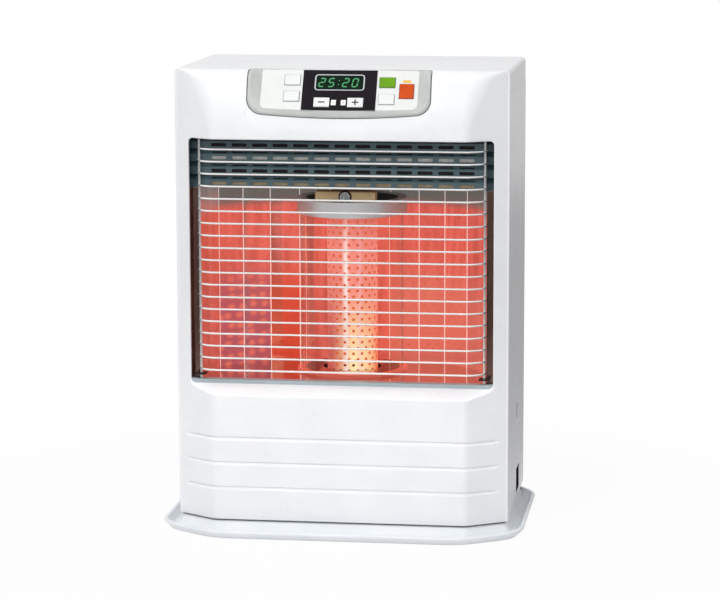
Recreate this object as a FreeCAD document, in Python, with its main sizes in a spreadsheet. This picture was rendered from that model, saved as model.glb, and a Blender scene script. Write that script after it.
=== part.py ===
"""Flued radiant paraffin heater that stands in a floor tray.

A white sheet steel cabinet holds a burner with a glowing flame tube in a glass cylinder,
a folded mirror reflector behind it, a wire guard across the window, a louvre above, and a
control panel let into the sloping header. Millimetres, +Z up, the front faces -Y, and the
origin lies on the floor at the middle of the overall box.
"""
import FreeCAD, Part
import Sketcher
import os
import re

SIZES = (
    ("cab_width", 500, "cabinet, side to side"),
    ("side_depth", 284, "side panel, from the front seam to the back"),
    ("flank_width", 60, "angled flank of the front, measured across the cabinet"),
    ("flank_depth", 38, "angled flank of the front, measured front to back"),
    ("cab_height", 676, "cabinet, lower edge to top"),
    ("cab_lift", 20, "lower edge of the cabinet above the floor"),
    ("sheet", 1.2, "sheet steel of the cabinet"),
    ("rear_reach", 40, "pipe stubs behind the cabinet"),
    ("clearance", 0.3, "gap round a piece that moves or drops into place"),
    ("tray_front", 48, "tray lip in front of the cabinet"),
    ("tray_side", 24, "tray lip beside the cabinet"),
    ("tray_height", 14, "tray lip above the floor"),
    ("tray_flare", 10, "tray rim, outwards from foot to lip"),
    ("tray_sheet", 1.5, "sheet of the tray"),
    ("tray_flat", 2, "front corners of the tray inside the folds of the front"),
    ("tray_flank_back", 8, "front of the tray's straight side, behind the cabinet front"),
    ("tray_corner_run", 50, "cut rear corner of the tray, front to back"),
    ("tray_corner_width", 38, "cut rear corner of the tray, across"),
    ("plinth_wall", 3, "wall of the plinth"),
    ("plinth_inset", 14, "plinth inside the cabinet outline"),
    ("plinth_back", 40, "plinth in front of the cabinet's back"),
    ("skirt", 35, "turned-down edge of the top cover"),
    ("flange", 18, "turned-in edge of a side panel"),
    ("header_height", 62, "sloping header below the top"),
    ("header_lean", 17, "header top behind the front, before rounding"),
    ("header_radius", 23, "rounding of the header's top edge"),
    ("sill_height", 190, "flat lower front above the cabinet's lower edge"),
    ("sill_rise", 12.5, "bevelled ledge under the window, upwards"),
    ("sill_depth", 23, "bevelled ledge under the window, backwards"),
    ("sill_trim", 7, "grey trim strip on the ledge, height"),
    ("window_margin", 21, "window inside the cabinet's side"),
    ("window_drop", 101, "band of the front above the window"),
    ("window_radius", 8, "window corners"),
    ("groove_pitch", 38, "pressed lines of the lower front"),
    ("groove_low", 48, "lowest pressed line above the cabinet's lower edge"),
    ("groove_height", 2.4, "pressed line, height"),
    ("groove_depth", 0.5, "pressed line, depth"),
    ("groove_margin", 14, "pressed line ends inside the side seam"),
    ("shelf_rise", 3.5, "hearth shelf above the ledge"),
    ("shelf_sheet", 1.2, "sheet of the hearth shelf and its roof"),
    ("roof_drop", 78, "roof of the hearth below the window top"),
    ("burner_gap", 6.4, "rings of the glass in front of the reflector"),
    ("wire_radius", 1.5, "guard wire"),
    ("wire_pitch", 18.45, "guard wire spacing"),
    ("wire_low", 23.5, "lowest guard wire above the ledge"),
    ("wire_setback", 12, "guard wires behind the front"),
    ("wire_bend", 15, "bend of a guard wire outside the fold of the front"),
    ("wire_tip", 1.5, "tip of a guard wire past its rod"),
    ("rod_radius", 2, "upright rod of the guard"),
    ("rod_inset", 36, "upright rod inside the cabinet's side"),
    ("rod_setback", 35, "upright rod behind the front"),
    ("rod_above", 17, "upright rod above the window top"),
    ("weld_bite", 0.4, "depth of the weld between wire and rod"),
    ("hook_width", 16, "guard hook plate, across"),
    ("hook_sheet", 2, "guard hook plate, thickness"),
    ("hook_rise", 6, "lower hook plate above the trim"),
    ("louvre_setback", 44, "louvre and cheek fronts behind the front"),
    ("louvre_steps", 4, "steps of the louvre"),
    ("louvre_pitch", 19.25, "step spacing of the louvre"),
    ("louvre_face", 11, "upright face of a step"),
    ("louvre_slope", 5, "rise of a step's sloping top"),
    ("louvre_depth", 7, "depth of a step"),
    ("louvre_sheet", 1.5, "louvre sheet, measured front to back"),
    ("louvre_flange", 14, "flat edge above the top step of the louvre"),
    ("slot_count", 13, "slots in a louvre row"),
    ("slot_pitch", 31, "slot spacing"),
    ("slot_length", 23, "slot length"),
    ("slot_height", 5, "slot height"),
    ("reflector_radius", 250, "circle through the folds of the reflector"),
    ("reflector_gap", 5.6, "reflector in front of the fan motor"),
    ("fold_angle", 11, "angle between the folds, degrees"),
    ("reflector_sheet", 0.8, "polished sheet"),
    ("cheek_inset", 34, "front edge of a cheek plate inside the cabinet's side"),
    ("glass_radius", 78, "glass cylinder, outside"),
    ("glass_wall", 3, "glass cylinder, wall"),
    ("glass_seat", 5, "glass inside the top ring"),
    ("base_seat", 2, "glass above the shelf"),
    ("base_ring_height", 5, "base ring of the glass"),
    ("collar_gap", 6, "base ring outside the flame tube"),
    ("ring_wall", 6, "ring outside the glass"),
    ("ring_lap", 4.7, "ring inside the glass"),
    ("ring_drop", 47, "foot of the top ring below the hearth roof"),
    ("top_ring_height", 24, "top ring, height"),
    ("tube_radius", 38.5, "flame tube, outside"),
    ("tube_wall", 1.2, "flame tube, wall"),
    ("cap_sheet", 2, "plate over the flame tube"),
    ("clamp_width", 92, "clamp block, across"),
    ("clamp_depth", 22, "clamp block, front to back"),
    ("clamp_height", 16, "clamp block, height"),
    ("clamp_setback", 8, "clamp block behind the front of the top ring"),
    ("clamp_screw_radius", 8, "clamp screw head"),
    ("clamp_screw_head", 4, "clamp screw head, thickness"),
    ("pot_radius", 60, "burner pot, outside"),
    ("pot_wall", 2, "burner pot, wall"),
    ("pot_foot", 44.8, "burner pot above the base plate"),
    ("pot_flange", 80, "burner pot flange radius"),
    ("pot_rim", 4.5, "rim of the burner pot inside the flame tube"),
    ("shelf_hole", 50, "opening of the shelf round the flame tube, radius"),
    ("duct_radius", 15, "air duct from blower to burner pot, outside"),
    ("igniter_radius", 6, "igniter body"),
    ("igniter_length", 62, "igniter body, length"),
    ("igniter_drop", 40, "igniter below the shelf"),
    ("exchanger_width", 300, "heat exchanger, across"),
    ("exchanger_front", 66, "heat exchanger in front of the burner axis"),
    ("exchanger_depth", 206, "heat exchanger, front to back"),
    ("exchanger_height", 72, "heat exchanger, height"),
    ("neck_radius", 30, "neck of the heat exchanger"),
    ("flue_radius", 22.5, "flue pipe, outside"),
    ("intake_radius", 20, "air intake pipe, outside"),
    ("pipe_wall", 1.5, "wall of both pipes"),
    ("collar_width", 4, "collar of a pipe stub, outside the pipe"),
    ("collar_length", 3, "collar of a pipe stub, along the pipe"),
    ("flue_place", 90, "flue pipe from the middle"),
    ("blower_place", 150, "blower from the middle, to the left"),
    ("blower_front", 28, "blower housing in front of the burner axis"),
    ("blower_radius", 62, "blower housing"),
    ("blower_length", 56, "blower housing, front to back"),
    ("blower_height", 72, "blower axis above the base plate"),
    ("blower_wall", 1.5, "wall of the blower housing"),
    ("impeller_gap", 6, "impeller inside the housing"),
    ("blower_vanes", 12, "vanes of the impeller"),
    ("vane_depth", 14, "vane, radially"),
    ("shaft_radius", 4, "motor shafts"),
    ("shaft_gap", 0.05, "running clearance of a shaft"),
    ("shaft_reach", 20, "shaft inside its motor"),
    ("motor_radius", 34, "both motors"),
    ("motor_length", 34, "both motors, length"),
    ("fan_height", 340, "convection fan above the cabinet's lower edge"),
    ("fan_radius", 78, "convection fan"),
    ("fan_hub", 22, "hub of the convection fan"),
    ("fan_depth", 20, "convection fan, front to back"),
    ("fan_blades", 5, "blades of the convection fan"),
    ("blade_chord", 38, "fan blade, leading to trailing edge"),
    ("blade_thickness", 1.6, "fan blade"),
    ("blade_pitch", 28, "fan blade angle, degrees"),
    ("fan_inset", 14, "convection fan in front of the rear panel"),
    ("fan_opening", 85, "rear opening for the fan, radius"),
    ("bracket_width", 26, "fan bracket, width of its bar"),
    ("bracket_sheet", 2, "fan bracket, thickness"),
    ("bracket_reach", 110, "legs of the fan bracket from the middle"),
    ("guard_wire", 2, "wire of the rear fan guard, radius"),
    ("guard_standoff", 12, "rear fan guard behind the rear panel"),
    ("leveller_width", 76, "fuel leveller, across"),
    ("leveller_depth", 84, "fuel leveller, front to back"),
    ("leveller_height", 66, "fuel leveller, height"),
    ("leveller_gap", 28, "fuel leveller inside the right side panel"),
    ("leveller_setback", 172, "fuel leveller behind the front"),
    ("lever_height", 36, "reset lever pivot above the cabinet's lower edge"),
    ("lever_setback", 213, "reset lever behind the front"),
    ("lever_length", 18, "reset lever, length"),
    ("lever_width", 9, "reset lever, width"),
    ("lever_thickness", 4, "reset lever, thickness"),
    ("lever_pin", 2, "reset lever pin, radius"),
    ("access_low", 8, "side access slot above the cabinet's lower edge"),
    ("access_height", 39, "side access slot, height"),
    ("access_width", 56, "side access slot, width"),
    ("grip_low", 126, "small side slot above the cabinet's lower edge"),
    ("grip_height", 24, "small side slot, height"),
    ("grip_width", 15, "small side slot, width"),
    ("grip_setback", 188, "small side slot behind the front"),
    ("fuel_radius", 4, "fuel inlet nipple"),
    ("fuel_bore", 2.5, "fuel inlet nipple, bore radius"),
    ("fuel_reach", 26, "fuel inlet nipple behind the cabinet"),
    ("fuel_height", 34, "fuel inlet above the base plate"),
    ("fuel_pipe", 2.5, "fuel pipes, radius"),
    ("pump_radius", 18, "fuel pump"),
    ("pump_length", 56, "fuel pump, height"),
    ("pump_place", 96, "fuel pump from the middle"),
    ("pump_setback", 230, "fuel pump behind the front"),
    ("supply_rise", 12, "fuel pipes from the foot of the pump and pot"),
    ("power_width", 62, "power unit, across"),
    ("power_depth", 84, "power unit, front to back"),
    ("power_height", 50, "power unit, height"),
    ("power_place", 176, "power unit from the middle"),
    ("power_setback", 62, "power unit behind the front"),
    ("tilt_size", 36, "tip-over switch, width and depth"),
    ("tilt_height", 30, "tip-over switch, height"),
    ("tilt_place", 60, "tip-over switch from the middle, to the left"),
    ("tilt_setback", 70, "tip-over switch behind the front"),
    ("gland_radius", 9, "cord gland, collar"),
    ("gland_stub", 7, "cord gland, part that fills the hole of the rear panel"),
    ("gland_bore", 4, "cord gland, bore radius"),
    ("gland_inset", 43.8, "cord gland inside the left side panel"),
    ("gland_height", 40, "cord gland above the cabinet's lower edge"),
    ("gland_reach", 10, "cord gland behind the cabinet"),
    ("screw_radius", 4, "panel screw heads"),
    ("screw_head", 2.2, "panel screw heads, thickness"),
    ("screw_low", 40, "lowest panel screw above the cabinet's lower edge"),
    ("screw_pitch", 190, "panel screw spacing"),
    ("screw_inset", 14, "panel screws inside the edge of the rear panel"),
    ("bezel_width", 274, "control bezel, across"),
    ("bezel_drop", 70, "lower edge of the control bezel below the top"),
    ("bezel_floor", 2, "floor of the control bezel"),
    ("bezel_ledge", 5, "ledge that carries the fascia"),
    ("bezel_flare", 19, "sloping side of the bezel, across"),
    ("bezel_flare_low", 8, "sloping lower side of the bezel"),
    ("bezel_rim", 26, "sloping sides of the bezel, above the fascia"),
    ("fascia_lean", 31, "fascia leans back from upright, degrees"),
    ("fascia_setback", 1, "lower edge of the fascia behind the front"),
    ("fascia_drop", 59, "lower edge of the fascia below the top"),
    ("fascia_top", 1.57, "upper edge of the fascia below the top"),
    ("fascia_plate", 2.5, "fascia, thickness"),
    ("display_inset", 63, "black display panel inside the end of the fascia"),
    ("display_plate", 0.8, "black display panel, thickness"),
    ("pane_half", 37, "display pane from the middle"),
    ("pane_low", 33, "display pane above the fascia's lower edge"),
    ("pane_tall", 26.5, "display pane, measured up the fascia"),
    ("pane_plate", 1.2, "display pane, thickness"),
    ("board_gap", 12, "control board behind the fascia"),
    ("board_plate", 1.6, "control board, thickness"),
    ("board_inset", 14, "control board inside the end of the fascia"),
    ("board_low", 9, "control board above the fascia's lower edge"),
    ("board_tall", 50, "control board, measured up the fascia"),
    ("post_radius", 3, "moulded posts of the fascia"),
    ("button_proud", 1.8, "buttons above the fascia"),
    ("button_stem", 4.5, "buttons behind the fascia"),
    ("button_travel", 1.2, "press of a button"),
    ("switch_size", 6, "switches on the board, width"),
    ("lens_proud", 0.5, "indicator lenses above what surrounds them"),
    ("lens_depth", 2, "indicator lenses below the fascia"),
    ("key_gap", 2.3, "gap between the small lenses and the minus and plus buttons"),
    ("key_up", 14, "minus and plus buttons above the fascia's lower edge"),
    ("key_wide", 23.4, "minus and plus buttons, across"),
    ("key_tall", 15, "minus and plus buttons, up the fascia"),
    ("side_gap", 4, "gap between the display panel and the buttons beside it"),
    ("side_wide", 23, "buttons beside the display, across"),
    ("side_tall", 16, "buttons beside the display, up the fascia"),
    ("left_upper_up", 50.5, "upper left button above the fascia's lower edge"),
    ("left_lower_up", 24, "lower left button above the fascia's lower edge"),
    ("right_upper_up", 47.5, "upper right button above the fascia's lower edge"),
    ("right_lower_up", 20, "lower right button above the fascia's lower edge"),
    ("power_gap", 8, "operation button inside the end of the fascia"),
    ("power_button_up", 33.5, "operation button above the fascia's lower edge"),
    ("power_button_wide", 21, "operation button, across"),
    ("power_button_tall", 23, "operation button, up the fascia"),
    ("lens_place", 7.3, "small square lenses from the middle"),
    ("lens_wide", 7.4, "small square lenses, across"),
    ("lens_tall", 8.5, "small square lenses, up the fascia"),
    ("lamp_gap", 2.7, "operation lamp above its button"),
    ("lamp_wide", 11.6, "operation lamp, across"),
    ("lamp_tall", 4, "operation lamp, up the fascia"),
)

V = FreeCAD.Vector
ALIASES = {alias for alias, value, note in SIZES}
TOLERANCE = 1e-4
SPARE = 5

doc = FreeCAD.newDocument("paraffin_heater")
dims = doc.addObject("Spreadsheet::Sheet", "dims")
for row, (alias, value, note) in enumerate(SIZES, start=1):
    dims.set(f"A{row}", note)
    dims.set(f"B{row}", str(value))
    dims.setAlias(f"B{row}", alias)
doc.recompute()

subparts = []


def bound(formula):
    """The formula with each size's name pointing at its cell."""
    return re.sub(r"[A-Za-z_]\w*", lambda m: f"dims.{m[0]}" if m[0] in ALIASES else m[0], formula)


def worth(formula):
    """The number that a formula gives with the present sizes."""
    return float(dims.evalExpression(bound(formula)))


def keep(shape):
    """Marks a shape as a sub-part of the heater."""
    subparts.append(shape)
    return shape


# Shapes that are bound to the sheet

TURNS = {
    "x": FreeCAD.Rotation(V(0, 1, 0), 90),
    "y": FreeCAD.Rotation(V(1, 0, 0), -90),
    "z": FreeCAD.Rotation(),
}
PLANES = {"x": "YZ_Plane", "y": "XZ_Plane", "z": "XY_Plane"}


def place(shape, x, y, z, rotation=FreeCAD.Rotation()):
    shape.Placement = FreeCAD.Placement(V(), rotation)
    for axis, formula in zip("xyz", (x, y, z)):
        shape.setExpression(f"Placement.Base.{axis}", bound(formula))
    return shape


def box(name, xs, ys, zs):
    shape = doc.addObject("Part::Box", name)
    for side, (low, high) in zip(("Length", "Width", "Height"), (xs, ys, zs)):
        shape.setExpression(side, bound(f"({high}) - ({low})"))
    return place(shape, xs[0], ys[0], zs[0])


def cylinder(name, radius, start, length, axis="z"):
    shape = doc.addObject("Part::Cylinder", name)
    shape.setExpression("Radius", bound(radius))
    shape.setExpression("Height", bound(length))
    return place(shape, *start, TURNS[axis])


def outline(sketch, points, closed=True):
    """Straight lines through the points, each point held by its two formulas."""
    spots = [V(worth(x), worth(y), 0) for x, y in points]
    count = len(points)
    lines = count if closed else count - 1
    for index in range(lines):
        sketch.addGeometry(Part.LineSegment(spots[index], spots[(index + 1) % count]), False)
    for index in range(count if closed else count - 2):
        sketch.addConstraint(Sketcher.Constraint("Coincident", index, 2, (index + 1) % lines, 1))
    for index, formulas in enumerate(points):
        line, end = (index, 1) if index < lines else (index - 1, 2)
        for kind, formula in zip(("DistanceX", "DistanceY"), formulas):
            number = sketch.addConstraint(Sketcher.Constraint(kind, -1, 1, line, end, worth(formula)))
            sketch.setExpression(f"Constraints[{number}]", bound(formula))


def circle(sketch, x, y, radius):
    ring = sketch.addGeometry(Part.Circle(V(worth(x), worth(y), 0), V(0, 0, 1), worth(radius)), False)
    for kind, formula in (("DistanceX", x), ("DistanceY", y)):
        number = sketch.addConstraint(Sketcher.Constraint(kind, -1, 1, ring, 3, worth(formula)))
        sketch.setExpression(f"Constraints[{number}]", bound(formula))
    number = sketch.addConstraint(Sketcher.Constraint("Radius", ring, worth(radius)))
    sketch.setExpression(f"Constraints[{number}]", bound(radius))


def origin_feature(body, role):
    return [feature for feature in body.Origin.OriginFeatures if feature.Role == role][0]


def sketch_on(body, name, axis, offset="0"):
    """A sketch square to the axis, moved along the plane's own normal."""
    sketch = body.newObject("Sketcher::SketchObject", name)
    sketch.AttachmentSupport = [(origin_feature(body, PLANES[axis]), "")]
    sketch.MapMode = "FlatFace"
    sketch.setExpression("AttachmentOffset.Base.z", bound(offset))
    return sketch


def prism(name, axis, points, low, high):
    """A straight-sided outline padded from low to high along the axis."""
    body = doc.addObject("PartDesign::Body", name)
    start = f"-({high})" if axis == "y" else low
    sketch = sketch_on(body, name + "_sketch", axis, start)
    outline(sketch, points)
    pad = body.newObject("PartDesign::Pad", name + "_pad")
    pad.Profile = sketch
    pad.setExpression("Length", bound(f"({high}) - ({low})"))
    return body


def turned(name, points, x, y, z, axis="z"):
    """A profile of radius and height points, turned about the axis."""
    body = doc.addObject("PartDesign::Body", name)
    sketch = sketch_on(body, name + "_sketch", "y")
    outline(sketch, points)
    turn = body.newObject("PartDesign::Revolution", name + "_turn")
    turn.Profile = sketch
    turn.ReferenceAxis = (sketch, ["V_Axis"])
    turn.Angle = 360
    return place(body, x, y, z, TURNS[axis])


def fuse(name, *pieces):
    shape = doc.addObject("Part::MultiFuse", name)
    shape.Shapes = list(pieces)
    return shape


def common(name, *pieces):
    shape = doc.addObject("Part::MultiCommon", name)
    shape.Shapes = list(pieces)
    return shape


def cut(name, base, *tools):
    shape = doc.addObject("Part::Cut", name)
    shape.Base = base
    shape.Tool = tools[0] if len(tools) == 1 else fuse(name + "_tools", *tools)
    return shape


def group(name, *pieces):
    shape = doc.addObject("Part::Compound", name)
    shape.Links = list(pieces)
    return shape


def fillet(name, base, radius, wanted):
    """Rounds the edges of the base that the wanted test picks."""
    doc.recompute()
    shape = doc.addObject("Part::Fillet", name)
    shape.Base = base
    size = worth(radius)
    shape.Edges = [(number, size, size) for number, edge in enumerate(base.Shape.Edges, 1) if wanted(edge)]
    return shape


def runs_along(edge, axis):
    direction = edge.tangentAt(edge.FirstParameter)
    return abs(abs(getattr(direction, axis)) - 1) < TOLERANCE


# Lines of the cabinet that the pieces share

HALF = "(cab_width / 2)"
FLAT = f"({HALF} - flank_width)"
INSIDE = f"({HALF} - sheet)"
FRONT = "((tray_front - side_depth - flank_depth - rear_reach) / 2)"
SEAM = f"({FRONT} + flank_depth)"
BACK = f"({SEAM} + side_depth)"
REAR = f"({BACK} - sheet)"
FOOT = "cab_lift"
BASE = "(cab_lift + sheet)"
TOP = "(cab_lift + cab_height)"
SIDE_TOP = f"({TOP} - skirt)"
SILL = "(cab_lift + sill_height)"
LEDGE = f"({FRONT} + sill_depth)"
LEDGE_TOP = f"({SILL} + sill_rise)"
TRIM_TOP = f"({LEDGE_TOP} + sill_trim)"
WINDOW_TOP = f"({TOP} - window_drop)"
WINDOW_HALF = f"({HALF} - window_margin)"
SHELF = f"({LEDGE_TOP} + shelf_rise)"
SHELF_TOP = f"({SHELF} + shelf_sheet)"
ROOF = f"({WINDOW_TOP} - roof_drop)"
ROOF_TOP = f"({ROOF} + shelf_sheet)"
HEARTH = f"({FRONT} + louvre_setback)"
FAN = "(cab_lift + fan_height)"
FAN_BACK = f"({REAR} - fan_inset)"
FAN_FRONT = f"({FAN_BACK} - fan_depth)"
BRACKET = f"({FAN_FRONT} - bracket_sheet * 2)"
BRACKET_FRONT = f"({BRACKET} - bracket_sheet)"
MOTOR = f"({BRACKET_FRONT} - motor_length)"
REFLECTOR = f"({MOTOR} - reflector_gap - (reflector_radius + reflector_sheet) * cos(fold_angle))"
RING_OUT = "(glass_radius + ring_wall)"
BURNER = f"({REFLECTOR} + reflector_radius * cos(fold_angle) - burner_gap - {RING_OUT})"
FLANK_TURN = "atan(flank_depth / flank_width)"
FRONT_MITRE = f"tan({FLANK_TURN} / 2)"
SIDE_MITRE = f"tan((90 deg - {FLANK_TURN}) / 2)"
SILL_MITRE = "tan((90 deg - atan(sill_rise / sill_depth)) / 2)"
FLANK_SLANT = "(sqrt(flank_width^2 + flank_depth^2) / flank_depth)"


def mirrored(points):
    """The points, then the same points at the other side in reverse order."""
    return points + [(f"-({x})", y) for x, y in reversed(points)]


def cabinet_plan(inset, back):
    """Outline of the cabinet seen from above, moved inwards."""
    side = f"({HALF} - ({inset}))"
    return mirrored([
        (side, back),
        (side, f"{SEAM} + ({inset}) * {SIDE_MITRE}"),
        (f"{FLAT} - ({inset}) * {FRONT_MITRE}", f"{FRONT} + ({inset})"),
    ])


def front_plan(inset):
    """Outline of the front with its two flanks, seen from above, moved inwards."""
    return mirrored([
        (f"{HALF} - ({inset}) * {FLANK_SLANT}", SEAM),
        (f"{FLAT} - ({inset}) * {FRONT_MITRE}", f"{FRONT} + ({inset})"),
    ])


# Floor tray with its flared rim, and the plinth that stands in it

def tray_sketch(name, grow, height):
    side = f"({HALF} + tray_side + ({grow}))"
    sketch = doc.addObject("Sketcher::SketchObject", name)
    outline(sketch, mirrored([
        (f"{side} - tray_corner_width", f"{BACK} + ({grow})"),
        (side, f"{BACK} - tray_corner_run"),
        (side, f"{FRONT} + tray_flank_back"),
        (f"{FLAT} - tray_flat + ({grow}) * {FRONT_MITRE}", f"{FRONT} - tray_front - ({grow})"),
    ]))
    sketch.setExpression("Placement.Base.z", bound(height))
    return sketch


def tray_loft(name, low_grow, low, high_grow, high):
    shape = doc.addObject("Part::Loft", name)
    shape.Sections = [
        tray_sketch(name + "_low", low_grow, low),
        tray_sketch(name + "_high", high_grow, high),
    ]
    shape.Solid = True
    shape.Ruled = True
    return shape


tray_outside = tray_loft("tray_outside", "-tray_flare", "0", "0", "tray_height")
tray_inside = tray_loft("tray_inside", "-tray_flare - tray_sheet", "tray_sheet", "-tray_sheet", "tray_height")
keep(cut("base_tray", tray_outside, tray_inside))

plinth_outside = prism("plinth_outside", "z", cabinet_plan("plinth_inset", f"{BACK} - plinth_back"),
                       "tray_sheet", FOOT)
plinth_inside = prism("plinth_inside", "z",
                      cabinet_plan("plinth_inset + plinth_wall", f"{BACK} - plinth_back - plinth_wall"),
                      "tray_sheet", FOOT)
keep(cut("plinth", plinth_outside, plinth_inside))
keep(prism("base_plate", "z", cabinet_plan("sheet", REAR), FOOT, BASE))


# Side panels, each with a turned-in front edge

def side_panel(name, side, *slots):
    """One side panel; side is -1 for the left and 1 for the right."""
    inner, outer, edge = (f"{side} * {INSIDE}", f"{side} * {HALF}", f"{side} * ({HALF} - flange)")
    skin = box(name + "_skin", (inner, outer) if side > 0 else (outer, inner), (SEAM, BACK), (FOOT, SIDE_TOP))
    turned_in = box(name + "_flange", (edge, inner) if side > 0 else (inner, edge),
                    (SEAM, f"{SEAM} + sheet"), (BASE, SIDE_TOP))
    if not slots:
        return fuse(name, skin, turned_in)
    return cut(name, fuse(name + "_whole", skin, turned_in), *slots)


ACCESS_LOW = "(cab_lift + access_low)"
GRIP_LOW = "(cab_lift + grip_low)"
LEVER = f"({FRONT} + lever_setback)"
access_slot = box("access_slot", (f"{INSIDE} - sheet", f"{HALF} + sheet"),
                  (f"{LEVER} - access_width / 2", f"{LEVER} + access_width / 2"),
                  (ACCESS_LOW, f"{ACCESS_LOW} + access_height"))
grip_slot = box("grip_slot", (f"{INSIDE} - sheet", f"{HALF} + sheet"),
                (f"{FRONT} + grip_setback", f"{FRONT} + grip_setback + grip_width"),
                (GRIP_LOW, f"{GRIP_LOW} + grip_height"))
keep(side_panel("left_side_panel", -1))
keep(side_panel("right_side_panel", 1, access_slot, grip_slot))


# Top cover with turned-down sides and back

keep(fuse(
    "top_cover",
    box("top_sheet", (f"-{HALF}", HALF), (SEAM, BACK), (f"{TOP} - sheet", TOP)),
    box("top_left_skirt", (f"-{HALF}", f"-{INSIDE}"), (SEAM, BACK), (SIDE_TOP, TOP)),
    box("top_right_skirt", (INSIDE, HALF), (SEAM, BACK), (SIDE_TOP, TOP)),
    box("top_rear_skirt", (f"-{HALF}", HALF), (REAR, BACK), (SIDE_TOP, TOP)),
))


# Front panel: flat middle, angled flanks, sloping header, window, bevelled ledge and pressed lines

WINDOW_MIDDLE = f"(({LEDGE_TOP} + {WINDOW_TOP}) / 2)"
HEADER_TURN = "(90 deg - atan(header_lean / header_height))"
HEADER_ROUND = f"min(header_radius; (flank_depth - header_lean - sheet) / tan({HEADER_TURN} / 2))"


def header_edge(lean, height):
    """Test for the long top edge of the header."""
    y, z = worth(f"{FRONT} + {lean}"), worth(height)

    def wanted(edge):
        middle = edge.CenterOfMass
        return runs_along(edge, "x") and abs(middle.y - y) < TOLERANCE and abs(middle.z - z) < TOLERANCE
    return wanted


front_outside = fillet("front_outside", prism("front_profile_outside", "x", [
    (FRONT, FOOT),
    (FRONT, SILL),
    (LEDGE, LEDGE_TOP),
    (LEDGE, WINDOW_MIDDLE),
    (FRONT, WINDOW_MIDDLE),
    (FRONT, f"{TOP} - header_height"),
    (f"{FRONT} + header_lean", TOP),
    (SEAM, TOP),
    (SEAM, FOOT),
], f"-{HALF}", HALF), HEADER_ROUND, header_edge("header_lean", TOP))
front_inside = fillet("front_inside", prism("front_profile_inside", "x", [
    (f"{FRONT} + sheet", FOOT),
    (f"{FRONT} + sheet", f"{SILL} - sheet * {SILL_MITRE}"),
    (f"{LEDGE} + sheet", f"{LEDGE_TOP} - sheet * {SILL_MITRE}"),
    (f"{LEDGE} + sheet", f"{WINDOW_MIDDLE} + sheet"),
    (f"{FRONT} + sheet", f"{WINDOW_MIDDLE} + sheet"),
    (f"{FRONT} + sheet", f"{TOP} - header_height"),
    (f"{FRONT} + header_lean + sheet", f"{TOP} - sheet"),
    (SEAM, f"{TOP} - sheet"),
    (SEAM, FOOT),
], f"-{HALF}", HALF), f"{HEADER_ROUND} - sheet", header_edge("header_lean + sheet", f"{TOP} - sheet"))
front_shell = cut(
    "front_shell",
    common("front_block", prism("front_plan_outside", "z", front_plan("0"), FOOT, TOP), front_outside),
    common("front_hollow", prism("front_plan_inside", "z", front_plan("sheet"), FOOT, TOP), front_inside),
)
window_hole = fillet(
    "window_hole",
    box("window_block", (f"-{WINDOW_HALF}", WINDOW_HALF), (f"{FRONT} - {SPARE}", f"{SEAM} + {SPARE}"),
        (LEDGE_TOP, WINDOW_TOP)),
    "window_radius", lambda edge: runs_along(edge, "y"))
bezel_hole = box("bezel_hole", ("-bezel_width / 2", "bezel_width / 2"),
                 (f"{FRONT} - {SPARE}", f"{SEAM} + {SPARE}"), (f"{TOP} - bezel_drop", f"{TOP} + {SPARE}"))
groove_skin = cut(
    "groove_skin",
    prism("groove_outside", "z", front_plan("0"), FOOT, SILL),
    prism("groove_inside", "z", front_plan("groove_depth"), FOOT, SILL),
)
GROOVES = 3
groove_bands = []
for index in range(GROOVES):
    low = f"cab_lift + groove_low + {index} * groove_pitch"
    groove_bands.append(box(f"groove_band_{index + 1}",
                            (f"groove_margin - {HALF}", f"{HALF} - groove_margin"),
                            (FRONT, SEAM), (low, f"{low} + groove_height")))
grooves = common("grooves", groove_skin, fuse("groove_bands", *groove_bands))
keep(cut("front_panel", front_shell, window_hole, bezel_hole, grooves))

keep(box("window_sill_trim", (f"-({FLAT} + flank_width / 2)", f"{FLAT} + flank_width / 2"),
         (f"{LEDGE} + sheet", f"{SEAM} + sheet"), (LEDGE_TOP, TRIM_TOP)))


# Hearth: shelf, roof, folded reflector and cheek plates

BURNER_SPOT = ("0", BURNER)
keep(cut("hearth_shelf",
         box("shelf_sheet_metal", (f"-{INSIDE}", INSIDE), (f"{SEAM} + sheet", REAR), (SHELF, SHELF_TOP)),
         cylinder("shelf_opening", "shelf_hole", (*BURNER_SPOT, SHELF), "shelf_sheet")))
keep(cut("hearth_roof",
         box("roof_sheet_metal", (f"-{INSIDE}", INSIDE),
             (HEARTH, f"{REFLECTOR} + reflector_radius"), (ROOF, ROOF_TOP)),
         cylinder("roof_opening", "neck_radius + clearance", (*BURNER_SPOT, ROOF), "shelf_sheet")))

FOLDS = 5


def fold_point(radius, fold):
    """A fold of the reflector, counted from the middle, on a circle of that radius."""
    turn = f"{fold} * fold_angle"
    return (f"({radius}) * sin({turn})", f"{REFLECTOR} + ({radius}) * cos({turn})")


fold_numbers = [fold for fold in range(-FOLDS, FOLDS + 1) if fold]
keep(prism("reflector", "z",
           [fold_point("reflector_radius", fold) for fold in fold_numbers]
           + [fold_point("reflector_radius + reflector_sheet", fold) for fold in reversed(fold_numbers)],
           SHELF_TOP, ROOF))

CHEEK = f"({HALF} - cheek_inset)"
for name, side in (("left_cheek_plate", -1), ("right_cheek_plate", 1)):
    end_x, end_y = fold_point("reflector_radius", FOLDS)
    cheek = [
        (end_x, f"{end_y} - clearance"),
        (CHEEK, HEARTH),
        (INSIDE, HEARTH),
        (INSIDE, f"{HEARTH} + reflector_sheet"),
        (f"{CHEEK} + reflector_sheet", f"{HEARTH} + reflector_sheet"),
        (f"{end_x} + reflector_sheet", f"{end_y} - clearance"),
    ]
    keep(prism(name, "z", [(f"{side} * ({x})", y) for x, y in cheek], SHELF_TOP, ROOF))


# Louvre above the hearth: sloping steps with rows of slots

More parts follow.
